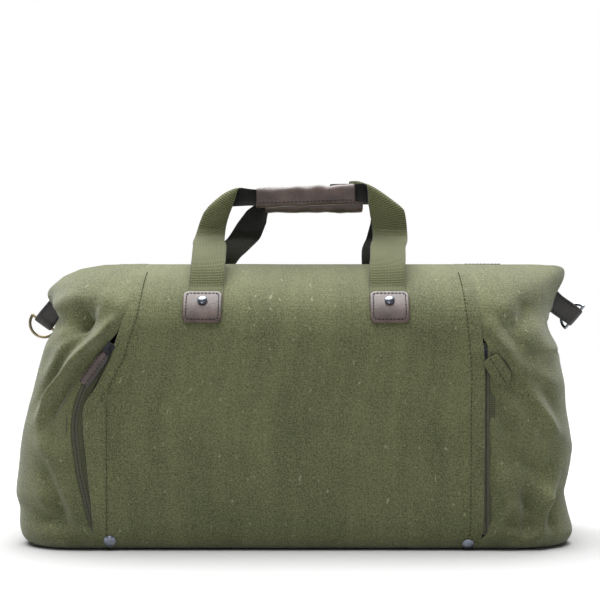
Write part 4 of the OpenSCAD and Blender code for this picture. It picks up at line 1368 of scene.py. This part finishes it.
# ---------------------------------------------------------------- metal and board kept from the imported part

DARK_METAL = worn_metal("dark_zip_metal", (0.05, 0.052, 0.06), 0.3)
KEPT = {
    STEEL: ("feet", "foot_washers", "front_rivets", "back_rivets", "right_d_ring"),
    BRASS: ("left_d_ring",),
    BOARD: ("base_board",),
    DARK_METAL: ("left_zip_slider", "left_pull_link", "right_zip_slider", "right_pull_link",
                 "main_zip_slider", "main_pull_link"),
}
for material, names in KEPT.items():
    for name in names:
        solid = bpy.data.objects[name]
        if not solid.material_slots:
            solid.data.materials.append(material)
        for slot in solid.material_slots:
            slot.material = material


# ---------------------------------------------------------------- floor, light and camera

FLOOR_HALF, FLOOR_Z = 4000, -0.6
floor_corners = [(x * FLOOR_HALF, y * FLOOR_HALF, FLOOR_Z) for x, y in ((-1, -1), (1, -1), (1, 1), (-1, 1))]
floor = piece("pale_floor", floor_corners, [(0, 1, 2, 3)], CANVAS, soft=False)
pale = Finish("pale_floor_paint", Roughness=0.9)
pale.finish(pale.mix(pale.noise(pale.place("Object"), 3.0), (0.44, 0.44, 0.44), (0.46, 0.46, 0.46)))
floor.data.materials[0] = pale.material


def softbox(name, place, aim, size, power):
    light = bpy.data.lights.new(name, "AREA")
    light.shape = "RECTANGLE"
    light.size, light.size_y = size
    light.energy = power
    lamp = bpy.data.objects.new(name, light)
    bpy.context.scene.collection.objects.link(lamp)
    lamp.location = place
    lamp.rotation_euler = (Vector(aim) - Vector(place)).to_track_quat("-Z", "Y").to_euler()


softbox("back_sky_panel", (0.1, 0.9, 1.6), (0, 0, 0.2), (1.4, 0.8), 9)
softbox("front_panel_light", (-0.5, -2.9, 0.9), (0, 0, 0.15), (1.2, 1.0), 5)
ceiling = bpy.data.lights.new("ceiling_light", "SUN")
ceiling.energy = 7.4
ceiling.angle = math.radians(70)
ceiling_object = bpy.data.objects.new("ceiling_light", ceiling)
ceiling_object.rotation_euler = (math.radians(-9), math.radians(-6), 0)
bpy.context.collection.objects.link(ceiling_object)

world = bpy.data.worlds.new("studio")
bpy.context.scene.world = world
world.use_nodes = True
studio = world.node_tree
backdrop = studio.nodes["Background"]
backdrop.inputs[1].default_value = 0.22
paper = studio.nodes.new("ShaderNodeBackground")
seen = studio.nodes.new("ShaderNodeLightPath")
blend = studio.nodes.new("ShaderNodeMixShader")
for node in (backdrop, paper):
    node.inputs[0].default_value = (1, 1, 1, 1)
studio.links.new(seen.outputs["Is Camera Ray"], blend.inputs[0])
studio.links.new(backdrop.outputs[0], blend.inputs[1])
studio.links.new(paper.outputs[0], blend.inputs[2])
studio.links.new(blend.outputs[0], studio.nodes["World Output"].inputs[0])
bpy.context.scene.view_settings.view_transform = "Standard"

lens = bpy.data.cameras.new("camera")
lens.lens, lens.sensor_width = 96, 36
camera = bpy.data.objects.new("camera", lens)
bpy.context.scene.collection.objects.link(camera)
camera.location = (0.004, -1.715, 0.25)
camera.rotation_euler = (math.pi / 2, 0, 0)
bpy.context.scene.camera = camera
